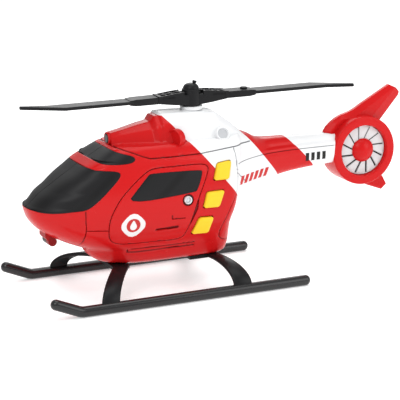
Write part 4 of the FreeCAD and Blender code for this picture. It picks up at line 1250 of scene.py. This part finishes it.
cap = turned([(0, 152.8), (7.2, 152.8), (7.3, 153.3), (7.2, 154.3), (6.9, 154.6), (6.3, 154.7), (6.3, 155.3),
              (6.0, 156.3), (5.2, 157.5), (4.0, 158.4), (2.6, 158.9), (0, 159.0)], MAST, UP)
finish_piece(new_object("head_cap", *cap), "rotor", BLACK, ["hub_cap"])
knob = turned([(0, -0.6), (1.5, -0.6), (1.1, 0.4), (1.1, 0.9), (1.75, 1.5), (1.8, 2.5), (1.3, 3.0), (0, 3.1)],
              (-2.4, 0.0, 157.9), (-0.35, 0.0, 1.0), 32)
finish_piece(new_object("head_knob", *knob), "rotor", BLACK, ["hub_knob"])


# %% [markdown]
# ## Landing gear
# The skids are round tubes swept along a path that turns up at the front through a soft bend. Two
# broad leaf-shaped arches carry the hull; each leg leaves the belly level and ends upright.

# %% Skids and arches
SKID_Y, SKID_R, SKID_Z = 55.67, 4.2, 4.08
SKID_REAR, SKID_BEND, SKID_TIP = -76.6, 116.9, (137.3, 12.5)
PAD_HALF, LEG_FOOT, LEG_RISE = 20.0, 6.5, 17.0


def skid(side):
    """Rings along a straight run, an arc and the raised tip, with round ends."""
    slope = math.atan2(SKID_TIP[1] - SKID_Z, SKID_TIP[0] - SKID_BEND)
    radius = 14.0
    start = SKID_BEND - radius * math.tan(slope / 2)
    path = [(SKID_REAR + SKID_R, SKID_Z, 0.0), (start, SKID_Z, 0.0)]
    for k in range(1, 8):
        a = slope * k / 8
        path.append((start + radius * math.sin(a), SKID_Z + radius * (1 - math.cos(a)), a))
    path.append((*SKID_TIP, slope))
    quarter = np.linspace(0, math.pi / 2, 9)
    stations = [(path[0], -SKID_R * math.cos(t), SKID_R * math.sin(t)) for t in quarter[:-1]]
    stations += [(p, 0.0, SKID_R) for p in path]
    stations += [(path[-1], SKID_R * math.cos(t), SKID_R * math.sin(t))
                 for t in np.linspace(math.pi / 2, 0, 9)[1:]]
    t = np.linspace(0, 2 * np.pi, 40, endpoint=False)
    rings = []
    for (x, z, a), along, r in stations:
        r = max(r, 1e-4)
        up = r * np.sin(t)
        ring = np.stack([x + along * math.cos(a) - up * math.sin(a), side * SKID_Y + r * np.cos(t),
                         z + along * math.sin(a) + up * math.cos(a)], -1)
        ring[:, 2] = np.maximum(ring[:, 2], 0.0)
        rings.append(ring)
    return loft(rings)


def arch(root, foot):
    """One strip from foot to foot: a level bar between two quarter ellipses that widen and lean."""
    quarter = np.linspace(np.pi / 2, 0, 25)
    rings = []
    for side in (1, -1):
        part = []
        for a in quarter if side > 0 else quarter[::-1]:
            y = side * (PAD_HALF + (SKID_Y - PAD_HALF) * math.sin(a))
            z = LEG_FOOT + LEG_RISE * math.cos(a)
            t = math.sin(a)
            x0, x1 = root[0] + (foot[0] - root[0]) * t, root[1] + (foot[1] - root[1]) * t
            ny, nz = side * math.sin(a) * 0.9, math.cos(a)
            n = math.hypot(ny, nz)
            part.append(strip_section(x0, x1, y, z, ny / n, nz / n))
        rings += part
    return loft(rings)


def strip_section(x0, x1, y, z, ny, nz):
    """A flat bar's section with round edges; the normal (ny, nz) points to its upper face."""
    half, e = 1.5, 1.1
    ring = [(x0 + e, -half), (x1 - e, -half), (x1 - 0.3 * e, -0.7 * half), (x1, 0),
            (x1 - 0.3 * e, 0.7 * half), (x1 - e, half), (x0 + e, half), (x0 + 0.3 * e, 0.7 * half), (x0, 0),
            (x0 + 0.3 * e, -0.7 * half)]
    return [(x, y + d * ny, z + d * nz) for x, d in ring]


for side, name in ((1, "left"), (-1, "right")):
    tube = new_object("skid_tube_" + name, *skid(side), sharp=60)
    finish_piece(tube, "airframe", GLOSS_BLACK, ["skid_" + name])
for name, span, root, foot in (("front", (62.5, 76.5), (62.5, 76.5), (85.7, 100.4)),
                               ("rear", (-13.4, 11.0), (-13.4, -4.0), (-25.6, -10.0))):
    pad = block(*span, -PAD_HALF, PAD_HALF, 22.05, 24.8)
    leaf = new_object(name + "_leaf", *join(arch(root, foot), pad), sharp=50)
    finish_piece(leaf, "airframe", BLACK, [name + "_arch"])


# %% [markdown]
# ## Markings
# The printed markings are generic: a badge with a drop on the door, slanted red bars on the flank
# and plain black bars on the boom. Each is a thin closed patch that follows the side it lies on.

# %% Printed patches
def patch(outline, side, rise=0.06, rows=24, cols=24, sink=0.25):
    """A thin patch between level lines, a hair proud of the hull."""
    p = np.asarray(outline, float)
    z = np.linspace(p[:, 1].min() + 1e-3, p[:, 1].max() - 1e-3, rows)
    rear, front = row_ends(p, z)
    x = rear[:, None] + (front - rear)[:, None] * np.linspace(0, 1, cols)
    zz = z[:, None] * np.ones_like(x)
    w = hull_width(x, zz)
    return sheet(*[np.stack([x, side * (w + h), zz], -1) for h in (rise, -sink)])


BADGE = (65.0, 60.0)


def badge_outline(radius, lobes, depth, count=96):
    """A circle whose edge swells and shrinks a few times round."""
    a = np.linspace(0, 2 * np.pi, count, endpoint=False)
    r = radius * (1 + depth * np.sign(np.cos(lobes * a)) * np.abs(np.cos(lobes * a)) ** 0.5)
    return np.stack([BADGE[0] + r * np.sin(a), BADGE[1] + r * np.cos(a)], -1)


RED_PRINT = plain_plastic("red_print", (0.55, 0.03, 0.03), 0.35)
BLACK_PRINT = plain_plastic("black_print", (0.02, 0.02, 0.02), 0.4)
WHITE_PRINT = plain_plastic("white_print", (0.82, 0.80, 0.80), 0.35)

DROP = [(65.0, 64.6), (66.6, 62.0), (67.9, 59.2), (67.2, 57.0), (65.0, 56.0), (62.8, 57.0), (62.1, 59.2),
        (63.4, 62.0)]
for side, name in ((1, "left"), (-1, "right")):
    face = new_object("badge_" + name, *patch(badge_outline(9.2, 4, 0.05), side))
    finish_piece(face, "airframe", WHITE_PRINT)
    disc = new_object("badge_disc_" + name, *patch(circle(BADGE, 5.6, 48), side, 0.12))
    finish_piece(disc, "airframe", RED_PRINT)
    glyph = new_object("badge_drop_" + name, *patch(round_corners(DROP, 1), side, 0.18, 16, 10))
    finish_piece(glyph, "airframe", WHITE_PRINT)
    bars = []
    for k in range(6):
        x = -28.0 - 5.3 * k
        z = 80.0 + 0.34 * k
        bars.append(patch([(x, z), (x - 3.4, z), (x - 5.9, z + 7.0), (x - 2.5, z + 7.0)], side, 0.06, 5, 5))
    finish_piece(new_object("flank_bars_" + name, *join(*bars)), "airframe", RED_PRINT)

# The boom's black bars are on the port side only: a screw sits at their place on the other side.
ticks = []
for k in range(4):
    x = -95.4 - 5.1 * k
    ticks.append(patch([(x, 88.8), (x - 3.1, 88.8), (x - 3.1, 95.4), (x, 95.4)], 1, 0.06, 4, 4))
finish_piece(new_object("boom_bars", *join(*ticks)), "airframe", BLACK_PRINT)


# %% [markdown]
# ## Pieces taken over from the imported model
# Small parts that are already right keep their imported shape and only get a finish.

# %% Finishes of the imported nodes
# A red rim round the small lens at the tip of the tunnel.
LENS_PLACE, AHEAD = (70.2, 0, 121.8), (1, 0, 0)
rim = washer([(3.85, -6.0), (5.0, -6.0), (5.1, -5.4), (5.1, 1.2), (4.8, 1.7), (4.3, 1.8), (3.95, 1.5),
              (3.85, 1.0)], LENS_PLACE, AHEAD, 48)
finish_piece(new_object("lens_rim", *rim), "airframe", RED_PLASTIC)
CLEAR = plain_plastic("lamp_clear", (0.70, 0.72, 0.74), 0.12, drift=0.03)
LENS = plain_plastic("lens_dark", (0.015, 0.012, 0.013), 0.12, drift=0.1)


def two_tone():
    """Black towards starboard, dark red towards port, as on the lamp under the nose."""
    nodes = Nodes("lamp_two_tone")
    y = nodes.position()[2]
    port = nodes.spread(y, 0.9 * MM, 1.1 * MM, 0.0, 1.0)
    return moulded_finish(nodes, nodes.mix(port, (0.02, 0.02, 0.02), tuple(0.4 * c for c in RED)), 0.35)


NODE_FINISH = {
    "body_screws": STEEL, "arch_screws": STEEL, "battery_door_screw": STEEL, "battery_contacts": STEEL,
    "battery_cells": STEEL, "fan_axle": STEEL, "rotor_mast": STEEL, "mast_retainer": BLACK,
    "beacon_lens": LENS, "beacon_led": CLEAR, "side_lamp_lens": CLEAR, "search_light": two_tone(),
    "search_light_bracket": DARK_RED, "battery_door": BLACK, "battery_box": BLACK, "speaker": BLACK,
    "circuit_board": GREEN, "switches": BLACK, "sound_chip": BLACK, "mast_collar": WHITE_PLASTIC,
}
for node, material in NODE_FINISH.items():
    mesh = frame["nodes"][node].data
    mesh.materials.clear()
    mesh.materials.append(material)
print(len(NODE_FINISH), "packed nodes finished")
